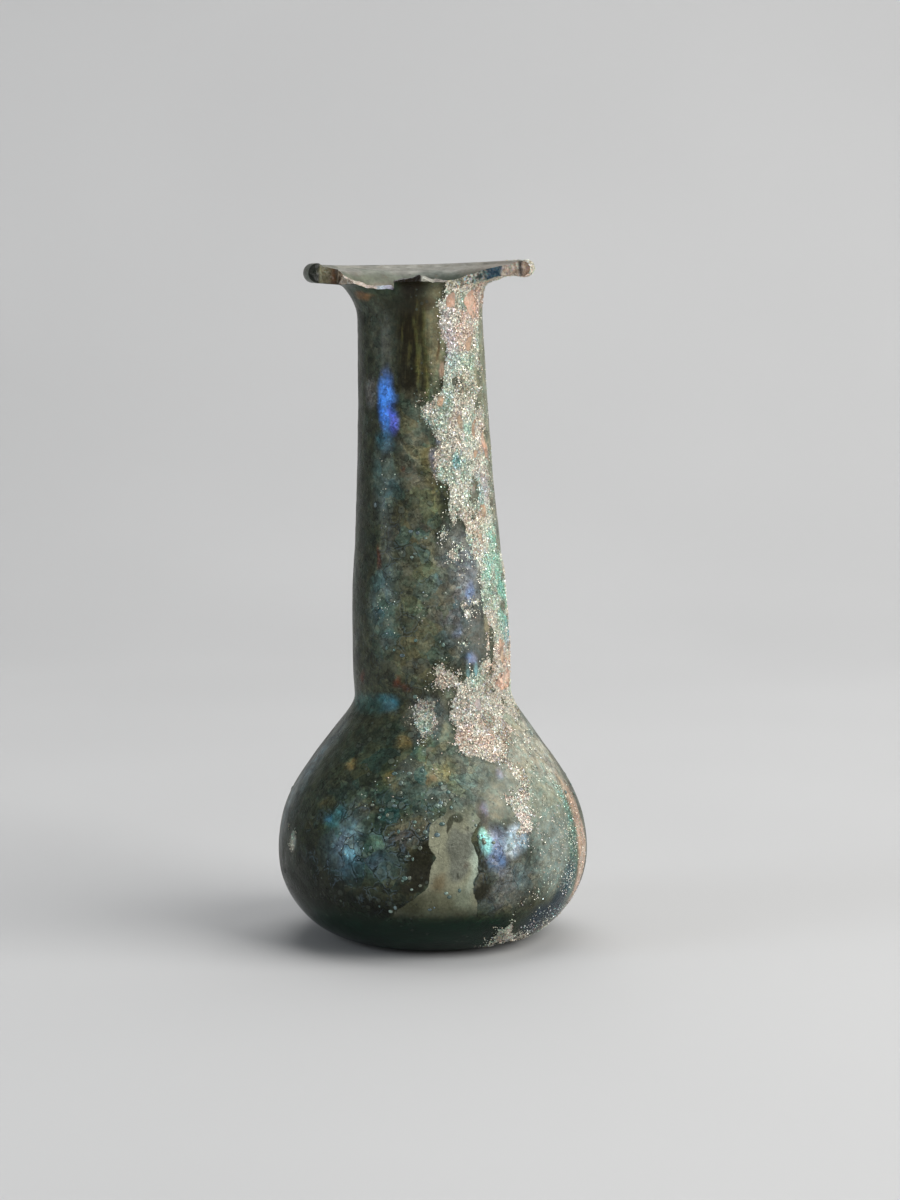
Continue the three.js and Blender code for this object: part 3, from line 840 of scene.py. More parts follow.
INNER_SPOTS = [
    (180, 106.5, 200, 3.0, 1.0, (82, 90, 74)),
    # Lighter on the back-left inner wall, which faces the window light: painted light.
    (-130, 106.8, 40, 1.8, 0.8, (104, 108, 88)),
    (180, 109.2, 200, 0.7, 0.9, (122, 120, 108)),
    # A painted highlight on the back-left inner wall, where the window light falls.
    (-140, 105.9, 24, 0.8, 0.6, (130, 118, 100)),
    (178, 107.0, 6, 0.6, 0.7, (62, 48, 34)),
    (150, 106.4, 30, 1.6, 0.8, (66, 76, 62)),
    (110, 108.6, 30, 1.2, 0.6, (120, 106, 88)),
]
# The broken edge from left to right, as (x from the rim's middle, how much crust dusts it, its colour).
EDGE_RUN = [
    (-18.4, 0.0, (20, 25, 16)), (-15.9, 0.0, (20, 25, 16)), (-15.5, 0.1, (108, 106, 82)),
    (-14.2, 0.1, (104, 98, 74)), (-13.6, 0.0, (84, 56, 34)), (-12.9, 0.0, (70, 60, 40)),
    (-12.2, 0.3, (176, 160, 142)), (-7.0, 0.5, (196, 174, 156)), (-6.2, 0.3, (196, 214, 226)),
    (-4.4, 0.2, (214, 206, 230)), (-3.9, 0.0, (36, 28, 17)), (0.4, 0.0, (30, 24, 15)),
    (0.7, 0.2, (176, 176, 164)), (2.4, 0.2, (150, 146, 132)), (2.8, 0.0, (98, 88, 74)),
    (4.3, 0.2, (96, 88, 74)), (4.8, 0.8, (120, 118, 88)), (8.0, 0.7, (72, 78, 64)),
    (9.2, 0.5, (52, 62, 54)), (10.6, 0.4, (50, 72, 74)), (11.0, 0.15, (38, 76, 96)),
    (13.0, 0.15, (40, 74, 92)), (13.4, 0.3, (126, 112, 98)), (16.0, 0.3, (126, 108, 92)),
    (16.2, 0.0, (36, 30, 24)), (16.6, 0.0, (36, 30, 24)), (16.9, 0.2, (140, 112, 90)),
    (18.8, 0.2, (140, 112, 90)),
]


def along_edge(surface):
    """The broken edge's colour at each place, and how much crust dusts it."""
    run = np.array([(at, dust, *paint(colour)) for at, dust, colour in EDGE_RUN])
    at = surface.places[:, 0] - RIM_MIDDLE + 0.25 * noise(surface.places, 0.9, 55)
    columns = [np.interp(at, run[:, 0], run[:, column]) for column in range(1, 5)]
    return np.column_stack(columns[1:]), columns[0]


# ---------------------------------------------------------------- relief

PITS = [(-36, 101.4, 0.45), (-44, 101.8, 0.35), (-33.5, 94, 0.4), (-58, 101.8, 0.35), (-27, 38, 0.35)]
CRUST_DEPTH = 0.17


def relief(surface, crust):
    """How far each place of the outside stands out from the true wall, in mm."""
    places = surface.places
    uneven = 0.10 * noise(places, 9, 61) + 0.045 * noise(places, 3.2, 62) + 0.02 * noise(places, 1.2, 63)
    thick = smoothstep(crust, -0.15, 0.5)
    grainy = 0.5 + 0.5 * noise(places, 0.8, 64) + 0.5 * noise(places, 1.9, 65)
    bare = smoothstep(joined(surface, BARE_OVALS), -0.1, 0.3)
    island = smoothstep(joined(surface, ISLAND_OVALS), -0.1, 0.3)
    pale = smoothstep(pale_reach(surface), -0.1, 0.3) * (1 - island)
    dents = np.zeros(len(places))
    for turn, height, size in PITS:
        away = np.hypot((surface.turn - turn) * surface.per_degree, surface.height - height)
        dents = np.maximum(dents, 0.22 * (1 - smoothstep(away, 0.3 * size, size)))
    return uneven + CRUST_DEPTH * thick * grainy - 0.06 * np.maximum(bare, pale) - dents


# ---------------------------------------------------------------- materials

class Graph:
    """A material's nodes, written as plain calls. A value is a number, a colour or another node's output."""

    def __init__(self, name):
        self.material = bpy.data.materials.new(name)
        self.material.use_nodes = True
        self.tree = self.material.node_tree
        self.tree.nodes.clear()
        self.place = self.scale(self.node("TexCoord").outputs["Object"], 1 / MM)

    def node(self, kind, values=(), **settings):
        """A new node, with values for its inputs as pairs or a dict, by number or by name."""
        made = self.tree.nodes.new("ShaderNode" + kind)
        for key, value in settings.items():
            setattr(made, key, value)
        for key, value in dict(values).items():
            self.feed(made.inputs[key], value)
        return made

    def feed(self, socket, value):
        if isinstance(value, bpy.types.NodeSocket):
            self.tree.links.new(value, socket)
        elif socket.type == "RGBA":
            socket.default_value = (*value, 1)
        elif socket.type == "VECTOR":
            socket.default_value = tuple(value)
        else:
            socket.default_value = value

    def math(self, operation, *values):
        return self.node("Math", enumerate(values), operation=operation).outputs[0]

    def times(self, first, *others):
        for other in others:
            first = self.math("MULTIPLY", first, other)
        return first

    def total(self, *parts):
        """The sum of parts, each a value and its weight."""
        found = 0.0
        for value, weight in parts:
            found = self.math("MULTIPLY_ADD", value, weight, found)
        return found

    def vector(self, operation, *values):
        return self.node("VectorMath", enumerate(values), operation=operation).outputs[0]

    def scale(self, vector, amount):
        return self.node("VectorMath", {0: vector, "Scale": amount}, operation="SCALE").outputs[0]

    def attribute(self, name, colour=False):
        return self.node("Attribute", attribute_name=name).outputs["Color" if colour else "Fac"]

    def noise(self, per_mm, detail=3.0, rough=0.6, place=None, bend=0.0):
        values = {"Scale": per_mm, "Detail": detail, "Roughness": rough, "Distortion": bend}
        values["Vector"] = self.place if place is None else place
        return self.node("TexNoise", values).outputs[0]

    def wander(self, per_mm, reach):
        """A smooth random vector about zero at each place."""
        made = self.node("TexNoise", {"Vector": self.place, "Scale": per_mm})
        return self.scale(self.vector("SUBTRACT", made.outputs["Color"], (0.5, 0.5, 0.5)), reach)

    def cells(self, per_mm, place=None, feature="F1"):
        values = {"Vector": self.place if place is None else place, "Scale": per_mm}
        return self.node("TexVoronoi", values, feature=feature).outputs

    def edges(self, per_mm, place=None):
        """How far each place is from the edge of its cell."""
        return self.cells(per_mm, place, "DISTANCE_TO_EDGE")["Distance"]

    def own(self, cells):
        """A random value for each cell."""
        return self.node("SeparateColor", {0: cells["Color"]}).outputs[0]

    def ramp(self, value, low, high, out_low=0.0, out_high=1.0):
        values = enumerate((value, low, high, out_low, out_high))
        return self.node("MapRange", values, interpolation_type="SMOOTHSTEP").outputs[0]

    def vary(self, noise, low, high):
        """A factor between low and high that follows a noise."""
        return self.ramp(noise, 0.3, 0.7, low, high)

    def blend(self, share, first, second, how="MIX"):
        values = {0: share, 6: first, 7: second}
        return self.node("Mix", values, data_type="RGBA", blend_type=how).outputs[2]

    def blend_number(self, share, first, second):
        return self.node("Mix", {0: share, 2: first, 3: second}, data_type="FLOAT").outputs[0]

    def colours(self, value, stops):
        """The colour at value, in even steps through the given colours."""
        made = self.node("ValToRGB", {0: value})
        made.color_ramp.interpolation = "CONSTANT"
        elements = made.color_ramp.elements
        while len(elements) < len(stops):
            elements.new(0.5)
        for number, (element, colour) in enumerate(zip(elements, stops)):
            element.position = number / len(stops)
            element.color = (*colour, 1)
        return made.outputs[0]

    def bump(self, height, distance):
        values = {"Strength": 1.0, "Distance": distance * MM, "Height": height}
        return self.node("Bump", values).outputs[0]

    def finish(self, **sockets):
        """The surface shader, with names such as Coat_Weight for its sockets."""
        values = {key.replace("_", " "): value for key, value in sockets.items()}
        shader = self.node("BsdfPrincipled", values)
        self.node("OutputMaterial", {"Surface": shader.outputs[0]})
        return self.material


GRAIN_COLOURS = [
    (255, 253, 246), (116, 110, 94), (250, 244, 216), (234, 190, 172), (255, 253, 246),
    (80, 78, 62), (164, 232, 220), (238, 216, 190), (160, 158, 144), (196, 226, 204),
    (255, 250, 232), (96, 90, 74), (190, 208, 240), (224, 172, 146), (206, 198, 228),
    (250, 246, 222),
]


PLATE_SHADES = [
    (1.0, 1.0, 1.0), (0.72, 1.12, 1.22), (1.18, 1.06, 0.8), (0.95, 0.9, 0.98), (0.55, 0.6, 0.52),
    (1.25, 1.25, 1.15), (0.6, 0.85, 0.95), (0.85, 0.95, 0.7), (1.3, 1.2, 0.95), (0.8, 0.8, 0.8),
]


def skin_material():
    """The outside: satin iridescent skin over dark green glass, crusted with pearly grains."""
    g = Graph("weathered_skin")
    slow = g.noise(0.16, 3)
    blotch = g.noise(0.55, 5, 0.62)
    hue = g.noise(0.75, 5, 0.65, bend=0.6)
    fine = g.noise(2.2, 6, 0.7)
    tall_place = g.vector("MULTIPLY", g.place, (1.0, 1.0, 0.13))
    streak = g.noise(1.5, 5, 0.65, place=tall_place)

    # The skin: its colour, with the painted reflections, highlights and shade it carries, mottled towards
    # green, brown and teal.
    tint = g.attribute("tint", colour=True)
    mottle = g.times(g.vary(blotch, 0.62, 1.42), g.vary(slow, 0.9, 1.1), g.vary(fine, 0.78, 1.24))
    plated = g.attribute("plates")
    skin = g.scale(tint, g.blend_number(g.ramp(plated, 0, 0.4, 0.6, 1.0), 1.0, mottle))
    for middle_hue, most, turned_to in ((0.62, 0.32, (0.66, 1.15, 1.25)), (0.38, 0.24, (1.35, 1.1, 0.75))):
        share = g.ramp(hue, 0.5, middle_hue, 0, most)
        skin = g.blend(share, skin, g.blend(1.0, skin, turned_to, "MULTIPLY"))

    # Plates, each a little different in colour, height and gloss, with dark cracks along some of their edges.
    bent = g.vector("ADD", g.place, g.wander(0.3, 2.6))
    bent = g.vector("ADD", bent, g.wander(1.4, 0.7))
    plates = g.cells(0.42, bent)
    plate = g.own(plates)
    plate_edge = g.edges(0.42, bent)
    shaded = g.blend(1.0, skin, g.colours(plate, PLATE_SHADES), "MULTIPLY")
    skin = g.blend(g.times(plated, 0.8), skin, shaded)
    small = g.cells(1.15, bent)
    small_edge = g.edges(1.15, bent)
    scaly = g.times(g.ramp(g.noise(0.5, 3), 0.42, 0.56), g.ramp(plated, 0, 0.5, 0.2, 1.0))
    scale_shade = g.ramp(g.own(small), 0.1, 0.9, 0.66, 1.4)
    scale_shade = g.times(scale_shade, g.ramp(small_edge, 0.015, 0.07, 0.55, 1.0))
    skin = g.scale(skin, g.blend_number(scaly, 1.0, scale_shade))
    some_edges = g.times(g.attribute("cracks"), g.ramp(g.noise(0.35, 3), 0.48, 0.54))
    cracked = g.times(some_edges, g.ramp(plate_edge, 0.04, 0.012))
    rimmed = g.times(some_edges, g.ramp(plate_edge, 0.05, 0.075), g.ramp(plate_edge, 0.16, 0.09))
    skin = g.blend(g.times(rimmed, 0.35), skin, paint(MIST_FILM_AND_SHEEN))
    skin = g.blend(g.times(cracked, 0.85), skin, paint((20, 34, 32)))

    # Ring-shaped blisters: a dark rim round a paler middle.
    rings = g.cells(0.62, g.vector("ADD", g.place, g.wander(1.1, 0.5)))
    ring_size = g.ramp(g.own(rings), 0.45, 1.0, 0.0, 0.42)
    ring_away = g.math("SUBTRACT", rings["Distance"], ring_size)
    ringed = g.times(g.attribute("rings"), g.math("GREATER_THAN", ring_size, 0.1))
    ring_rim = g.times(ringed, g.ramp(g.math("ABSOLUTE", ring_away), 0.09, 0.02))
    ring_inside = g.times(ringed, g.ramp(ring_away, 0.0, -0.1))
    skin = g.scale(skin, g.blend_number(g.times(ring_rim, 0.6), 1.0, 0.3))
    skin = g.blend(g.times(ring_inside, 0.35), skin, paint((112, 122, 110)))

    # Streaks down the throat.
    streaky = g.times(g.attribute("streaks"), g.ramp(streak, 0.62, 0.42, 0, 0.85))
    skin = g.blend(streaky, skin, paint(STAIN) * 0.6)
    light_streak = g.times(g.attribute("streaks"), g.ramp(streak, 0.57, 0.7, 0, 0.6))
    skin = g.blend(light_streak, skin, paint(MOSS))

    # Layers: pale where the skin is off, with an island of grey skin, and bare dark glass beside it.
    ragged = g.times(g.math("SUBTRACT", g.noise(0.9, 5, 0.65), 0.5), 0.9)
    pale = g.ramp(g.math("ADD", g.attribute("pale"), ragged), 0.0, 0.14)
    fade = g.times(g.ramp(g.attribute("height"), 7.2, 10.4), g.ramp(g.attribute("height"), 26.5, 21.0))
    pale_colour = g.scale(g.attribute("pale_tint", colour=True), g.vary(blotch, 0.82, 1.16))
    pale_colour = g.scale(pale_colour, g.vary(fine, 0.88, 1.12))
    island_reach = g.math("ADD", g.attribute("island"), g.times(ragged, 1.2))
    island = g.ramp(island_reach, -0.5, 0.7, 0, 0.75)
    island_colour = g.scale(paint(ISLAND), g.vary(fine, 0.8, 1.2))
    island_colour = g.scale(island_colour, g.ramp(blotch, 0.35, 0.65, 0.8, 1.2))
    pale_colour = g.blend(island, pale_colour, island_colour)
    marked = g.ramp(g.math("ADD", g.attribute("marks"), g.times(ragged, 0.5)), -0.1, 0.2, 0, 0.85)
    pale_colour = g.blend(marked, pale_colour, paint(BARK))
    bare = g.ramp(g.math("ADD", g.attribute("bare"), ragged), -0.2, 0.9)
    skin = g.blend(bare, skin, g.scale(paint(BARK), g.vary(fine, 0.6, 1.5)))
    skin = g.blend(g.times(pale, fade), skin, pale_colour)

    # Specks and small pits.
    speck_cells = g.cells(1.25)
    speck_size = g.ramp(g.own(speck_cells), 0.7, 1.0, 0.0, 0.34)
    speck = g.times(g.math("LESS_THAN", speck_cells["Distance"], speck_size), 0.6)
    speck_colour = g.blend(g.own(g.cells(0.8)), paint((22, 22, 14)), paint((88, 98, 90)))
    skin = g.blend(speck, skin, speck_colour)

    # The crust: small grains of many pearly colours with painted shade in the gaps between them.
    grains = g.cells(3.4)
    lumps = g.cells(1.5)
    grain_value = g.own(grains)
    crust_noise = g.times(g.math("SUBTRACT", g.noise(1.5, 5, 0.75), 0.5), 2.6)
    crust_here = g.math("ADD", g.attribute("crust"), crust_noise)
    crust = g.ramp(crust_here, 0.45, 0.6)
    pearly = g.colours(grain_value, paint(GRAIN_COLOURS))
    grain_colour = g.blend(0.35, g.attribute("crust_tint", colour=True), pearly)
    # Painted shade in the gaps between grains.
    painted_gap_shade = g.ramp(g.edges(3.4), 0.02, 0.14, 0.35, 1.0)
    grain_colour = g.scale(grain_colour, g.times(painted_gap_shade, g.vary(fine, 0.7, 1.15)))
    colour = g.blend(crust, skin, grain_colour)

    # Gloss, and each grain's own tilt, which makes the crust glitter.
    film = g.math("SUBTRACT", 1.0, crust)
    shine = g.times(g.attribute("shine"), film, g.ramp(blotch, 0.36, 0.62, 0.25, 1.0))
    metal = g.blend_number(crust, g.times(shine, 0.7), g.ramp(grain_value, 0.2, 0.9, 0.05, 0.5))
    rough = g.math("ADD", g.vary(fine, 0.24, 0.44), g.times(plate, 0.1))
    rough = g.blend_number(crust, rough, 0.34)
    clear = g.times(g.attribute("clear"), film, 0.2)
    height = g.total(
        (fine, 0.5), (blotch, 0.7), (cracked, -0.6), (ring_inside, 0.5), (g.times(scaly, g.own(small)), 0.4),
        (g.times(plated, plate), 0.3), (g.times(crust, lumps["Distance"]), -1.2),
    )
    smooth_normal = g.bump(height, 0.14)
    tilt = g.vector("SUBTRACT", grains["Color"], (0.5, 0.5, 0.5))
    tilt_amount = g.math("ADD", g.times(crust, 1.1), g.times(shine, 0.06))
    normal = g.vector("NORMALIZE", g.vector("ADD", smooth_normal, g.scale(tilt, tilt_amount)))
    foot = g.ramp(g.attribute("height"), 12, 7)
    coat = g.times(film, g.ramp(blotch, 0.35, 0.65, 0.04, 0.22), g.math("SUBTRACT", 1.0, foot))
    rough = g.blend_number(g.times(foot, film), rough, 0.16)
    return g.finish(
        Base_Color=colour, Metallic=metal, Roughness=rough, Normal=normal, Transmission_Weight=clear,
        Coat_Weight=coat, Coat_Roughness=0.14, IOR=1.5, Specular_IOR_Level=0.14,
    )


def bore_material():
    """The inside: a dull, silty skin that turns pale and pearly up the funnel."""
    g = Graph("weathered_bore")
    blotch = g.noise(0.5, 5, 0.65)
    fine = g.noise(2.6, 5, 0.7)
    colour = g.scale(g.attribute("inner_tint", colour=True), g.vary(blotch, 0.7, 1.25))
    stain = g.ramp(g.noise(0.8, 5, 0.6), 0.56, 0.7, 0, 0.5)
    colour = g.blend(stain, colour, paint((96, 84, 58)))
    speck_cells = g.cells(1.6)
    speck_size = g.ramp(g.own(speck_cells), 0.75, 1.0, 0.0, 0.3)
    speck = g.math("LESS_THAN", speck_cells["Distance"], speck_size)
    colour = g.blend(g.times(speck, 0.5), colour, paint((56, 50, 36)))
    height = g.math("ADD", g.times(fine, 0.5), blotch)
    return g.finish(
        Base_Color=colour, Roughness=g.vary(fine, 0.38, 0.62), Normal=g.bump(height, 0.12),
        Coat_Weight=g.ramp(blotch, 0.4, 0.6, 0.1, 0.35), Coat_Roughness=0.25,
    )


def break_material():
    """The broken edge: shell-shaped fractures in dark glass, dusted with crust."""
    g = Graph("broken_edge")
    blotch = g.noise(1.1, 5, 0.7)
    fine = g.noise(4.5, 4, 0.7)
    shells = g.cells(1.3)
    dust = g.ramp(g.math("ADD", blotch, g.times(fine, 0.3)), 0.5, 0.74)
    dust = g.times(dust, g.attribute("edge_dust"))
    glass = g.scale(g.attribute("edge_tint", colour=True), g.vary(blotch, 0.6, 1.35))
    dusty = g.colours(g.own(g.cells(3.6)), paint(GRAIN_COLOURS))
    colour = g.blend(g.times(dust, 0.9), glass, g.scale(dusty, 0.75))
    height = g.math("ADD", g.times(shells["Distance"], 0.8), g.times(fine, 0.4))
    return g.finish(
        Base_Color=colour, Roughness=g.ramp(dust, 0, 1, 0.22, 0.55), Normal=g.bump(height, 0.2),
        Coat_Weight=g.ramp(dust, 0, 0.5, 0.15, 0.0), Coat_Roughness=0.2, Specular_IOR_Level=0.3,
    )


def grain_material():
    """The loose flakes: each its own pearly colour, some of them mirror-bright."""
    g = Graph("pearly_grain")
    fine = g.noise(5.0, 4, 0.7)
    colour = g.scale(g.attribute("grain_tint", colour=True), g.vary(fine, 0.95, 1.3))
    return g.finish(
        Base_Color=colour, Metallic=g.ramp(g.own(g.cells(2.6)), 0.3, 0.9, 0.0, 0.75),
        Roughness=g.vary(fine, 0.18, 0.36), Normal=g.bump(fine, 0.05),
        Coat_Weight=0.3, Coat_Roughness=0.15,
    )


def blister_material():
    """The blisters: glossy, with a faint metal sheen."""
    g = Graph("skin_blister")
    fine = g.noise(3.5, 4, 0.7)
    colour = g.scale(g.attribute("grain_tint", colour=True), g.vary(fine, 0.7, 1.25))
    return g.finish(
        Base_Color=colour, Metallic=g.ramp(g.noise(0.4, 2), 0.4, 0.6, 0.1, 0.45),
        Roughness=g.vary(fine, 0.14, 0.3), Normal=g.bump(fine, 0.06),
        Coat_Weight=0.5, Coat_Roughness=0.08,
    )


# ---------------------------------------------------------------- building

def read(items, key, width=1, kind=np.int32):
    """One property of every vertex, loop or face, in rows of that width."""
    flat = np.empty(len(items) * width, kind)
    items.foreach_get(key, flat)
    return flat.reshape(-1, width) if width > 1 else flat


def positions(mesh):
    return read(mesh.vertices, "co", 3, np.float32).astype(float) / MM


def vertex_normals(mesh):
    return read(mesh.vertices, "normal", 3, np.float32).astype(float)


def put_values(mesh, name, values):
    mesh.attributes.new(name, "FLOAT", "POINT").data.foreach_set("value", np.asarray(values, np.float32))


def put_colours(mesh, name, colours):
    full = np.column_stack([colours, np.ones(len(colours))]).astype(np.float32)
    mesh.attributes.new(name, "FLOAT_COLOR", "POINT").data.foreach_set("color", full.ravel())


def kinds_at_vertices(mesh):
    """For each vertex, whether a face of each kind meets there, as three columns."""
    corners = read(mesh.loops, "vertex_index")
    kinds = read(mesh.polygons, "material_index")
    sizes = read(mesh.polygons, "loop_total")
    meets = np.zeros((len(mesh.vertices), 3), bool)
    meets[corners, np.repeat(kinds, sizes)] = True
    return meets


def build_vessel():
    """The glass itself, with its relief, and with its colours and values held at its vertices."""
    vessel = broken_vessel([skin_material(), bore_material(), break_material()])
    mesh = vessel.data
    surface = Surface(positions(mesh))
    crust = crust_reach(surface)
    meets = kinds_at_vertices(mesh)
    free = meets[:, OUTSIDE] & ~meets[:, INSIDE] & ~meets[:, BROKEN]
    above_table = smoothstep(surface.height, 0.05, 1.2)
    rise = relief(surface, crust) * free * above_table
    shaped = surface.places + vertex_normals(mesh) * rise[:, None]
    mesh.vertices.foreach_set("co", (shaped * MM).astype(np.float32).ravel())

    # The skin's and the crust's colours carry painted reflections, painted highlights and painted shade in
    # places.
    put_colours(mesh, "tint", film_colours(surface))
    put_colours(mesh, "crust_tint", crust_colours(surface))
    put_colours(mesh, "inner_tint", painted(surface, (72, 74, 56), INNER_SPOTS))
    edge_tint, edge_dust = along_edge(surface)
    put_colours(mesh, "edge_tint", edge_tint)
    put_values(mesh, "edge_dust", edge_dust)
    put_colours(mesh, "pale_tint", painted(surface, CREAM, PALE_SPOTS))
    smooth = smoothstep(smooth_reach(surface), 0, 0.4)
    put_values(mesh, "crust", crust * (1 - smooth) - smooth)
    put_values(mesh, "height", surface.height)
    put_values(mesh, "pale", pale_reach(surface))
    spotted = {
        "shine": SHINE_SPOTS, "cracks": CRACK_SPOTS, "streaks": STREAK_SPOTS, "clear": CLEAR_SPOTS,
        "plates": PLATE_SPOTS, "rings": RING_SPOTS,
    }
    for name, spots in spotted.items():
        put_values(mesh, name, summed(surface, spots))
    for name, ovals, most in (("bare", BARE_OVALS, 3), ("island", ISLAND_OVALS, 3), ("marks", MARK_OVALS, 1)):
        put_values(mesh, name, np.clip(joined(surface, ovals), -most, most))

    mesh.shade_smooth()
    mesh.set_sharp_from_angle(angle=math.radians(SHARP_ANGLE))
    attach(vessel, "root")
    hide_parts("glass_vessel")
    return vessel


def scatter(mesh, count, rng):
    """Random places and normals on the outside of the vessel, evenly spread by area."""
    mesh.calc_loop_triangles()
    corners = read(mesh.loop_triangles, "vertices", 3)
    owner = read(mesh.loop_triangles, "polygon_index")
    kinds = read(mesh.polygons, "material_index")
    corners = corners[kinds[owner] == OUTSIDE]
    places = positions(mesh)
    normals = vertex_normals(mesh)
    sides = places[corners[:, 1]] - places[corners[:, 0]], places[corners[:, 2]] - places[corners[:, 0]]
    area = np.linalg.norm(np.cross(*sides), axis=1)
    chosen = corners[rng.choice(len(corners), count, p=area / area.sum())]
    share = rng.dirichlet((1, 1, 1), count)[:, :, None]
    return (places[chosen] * share).sum(1), unit((normals[chosen] * share).sum(1))


def facing(normals):
    """Two directions along the surface at each place."""
    helper = np.where(np.abs(normals[:, 2:]) < 0.9, [[0, 0, 1]], [[1, 0, 0]])
    across = unit(np.cross(helper, normals))
    return across, np.cross(normals, across)


def add_piece(name, places, faces, colours, material):
    """A piece of the part that carries one colour for each vertex."""
    mesh = make_mesh(name, places, faces)
    put_colours(mesh, "grain_tint", colours)
    mesh.materials.append(material)
    made = add_object(name, mesh)
    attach(made, "root")
    return made


FLAKE_SIDES = 4
FLAKE_LIMIT = 32500  # keeps a piece under 200,000 triangles
FLAKE_TRIES = 150000
FLAKE_SIZES = (0.08, 0.18)
FLAKE_LIFTS = (0.03, 0.12)
FLAKE_TILT = 0.42
FLAKE_ROOT = 0.3
CRUST_SPLIT = 44  # the height at which one piece of crust ends and the next begins
# Where the flakes are long and thin, like fibres, as (turn, height, wide, tall, strength).
FIBRE_SPOTS = [
    (9, 43.7, 14, 2.4, 1.0), (-3, 38, 15, 3, 1.0), (20, 39, 12, 3.4, 0.7), (2, 86, 10, 3, 0.7),
    (20, 33.2, 6, 1.5, 1.0),
]


def build_grains(name, vessel, low, high, material, seed):
    """Tilted pearly plates, each a shallow closed pyramid with its point in the glass, on the crust between
    two heights."""
    rng = np.random.default_rng(seed)
    places, normals = scatter(vessel.data, FLAKE_TRIES, rng)
    surface = Surface(places)
    crust = crust_reach(surface)
    clusters = 0.5 + 0.5 * noise(places, 1.1, 71)
    wanted = smoothstep(crust, -1.3, 1.2) * (0.3 + 0.9 * clusters)
    wanted = np.maximum(wanted, summed(surface, FINE_GRAIN_SPOTS) * (0.3 + clusters))
    wanted *= 1 - 0.88 * smoothstep(smooth_reach(surface), -0.3, 0.4)
    between = (surface.height > max(low, 1.0)) & (surface.height <= high)
    kept = (rng.random(FLAKE_TRIES) < wanted) & between
    kept = np.flatnonzero(kept)[:FLAKE_LIMIT]
    places, normals, crust = places[kept], normals[kept], crust[kept]
    surface = Surface(places)
    count = len(kept)

    tilted = unit(normals + FLAKE_TILT * rng.normal(size=(count, 3)))
    across, along = facing(tilted)
    size = rng.uniform(*FLAKE_SIZES, count) * np.where(crust > 0.2, 1.0, 0.8)
    long = 1 + 0.9 * summed(surface, FIBRE_SPOTS)
    lift = rng.uniform(*FLAKE_LIFTS, count)
    middle = places + normals * lift[:, None]
    steps = np.arange(FLAKE_SIDES) + rng.uniform(-0.3, 0.3, (count, FLAKE_SIDES))
    angles = steps * 2 * math.pi / FLAKE_SIDES
    reach = size[:, None] * rng.uniform(0.7, 1.25, (count, FLAKE_SIDES))
    roll = rng.uniform(0, math.pi, count)
    first = across * np.cos(roll)[:, None] + along * np.sin(roll)[:, None]
    second = np.cross(tilted, first)
    step_across = (np.cos(angles) * reach * long[:, None])[:, :, None] * first[:, None]
    step_along = (np.sin(angles) * reach / long[:, None])[:, :, None] * second[:, None]
    rim = middle[:, None] + step_across + step_along
    point = (places - normals * FLAKE_ROOT)[:, None]
    corners = np.concatenate([rim, point], axis=1).reshape(-1, 3)

    faces = []
    for start in range(0, count * (FLAKE_SIDES + 1), FLAKE_SIDES + 1):
        faces.append(tuple(range(start, start + FLAKE_SIDES)))
        for side in range(FLAKE_SIDES):
            faces.append((start + (side + 1) % FLAKE_SIDES, start + side, start + FLAKE_SIDES))

    palette = paint(GRAIN_COLOURS)
    own = palette[rng.integers(len(palette), size=count)]
    # The crust's colours here include its painted highlight and painted glints.
    colours = 0.6 * crust_colours(surface) + 0.4 * own
    return add_piece(name, corners, faces, np.repeat(colours, FLAKE_SIDES + 1, axis=0), material)


BLISTER_SPOTS = [
    (-7.5, 18.1, 3.4, 1.3, 0.9), (-10, 15.4, 2.4, 0.9, 0.9), (-8, 13, 3.6, 1.3, 0.9),
    (5, 12.8, 4, 1.2, 0.7), (10, 13.1, 1.8, 0.7, 0.7),
    (3, 24.6, 6, 1.5, 0.7), (-14, 24.5, 20, 5.5, 0.16), (-3, 9.2, 4, 0.6, 0.8),
    (-19.5, 9.1, 4.4, 0.7, 0.5), (18, 20.5, 4, 2.0, 0.5),
    (-12, 58, 34, 16, 0.05), (-28, 21, 10, 3.5, 0.14), (-150, 24, 50, 8, 0.06), (120, 20, 40, 8, 0.06),
]
BLISTER_TINTS = [(98, 122, 112), (118, 138, 128), (78, 104, 98), (108, 116, 100), (92, 112, 114)]
BLISTER_SIDES = 10
BLISTER_TRIES = 26000
BLISTER_SEED = 83
BLISTER_SIZES = (0.18, 0.46)
# A blister's rings from its foot up, as (share of its width, share of its rise, shade); the shade is painted,
# darker at the foot and lighter towards the top.
BLISTER_RINGS = [(1.0, -0.25, 0.35), (0.9, 0.35, 0.6), (0.6, 0.82, 1.1)]


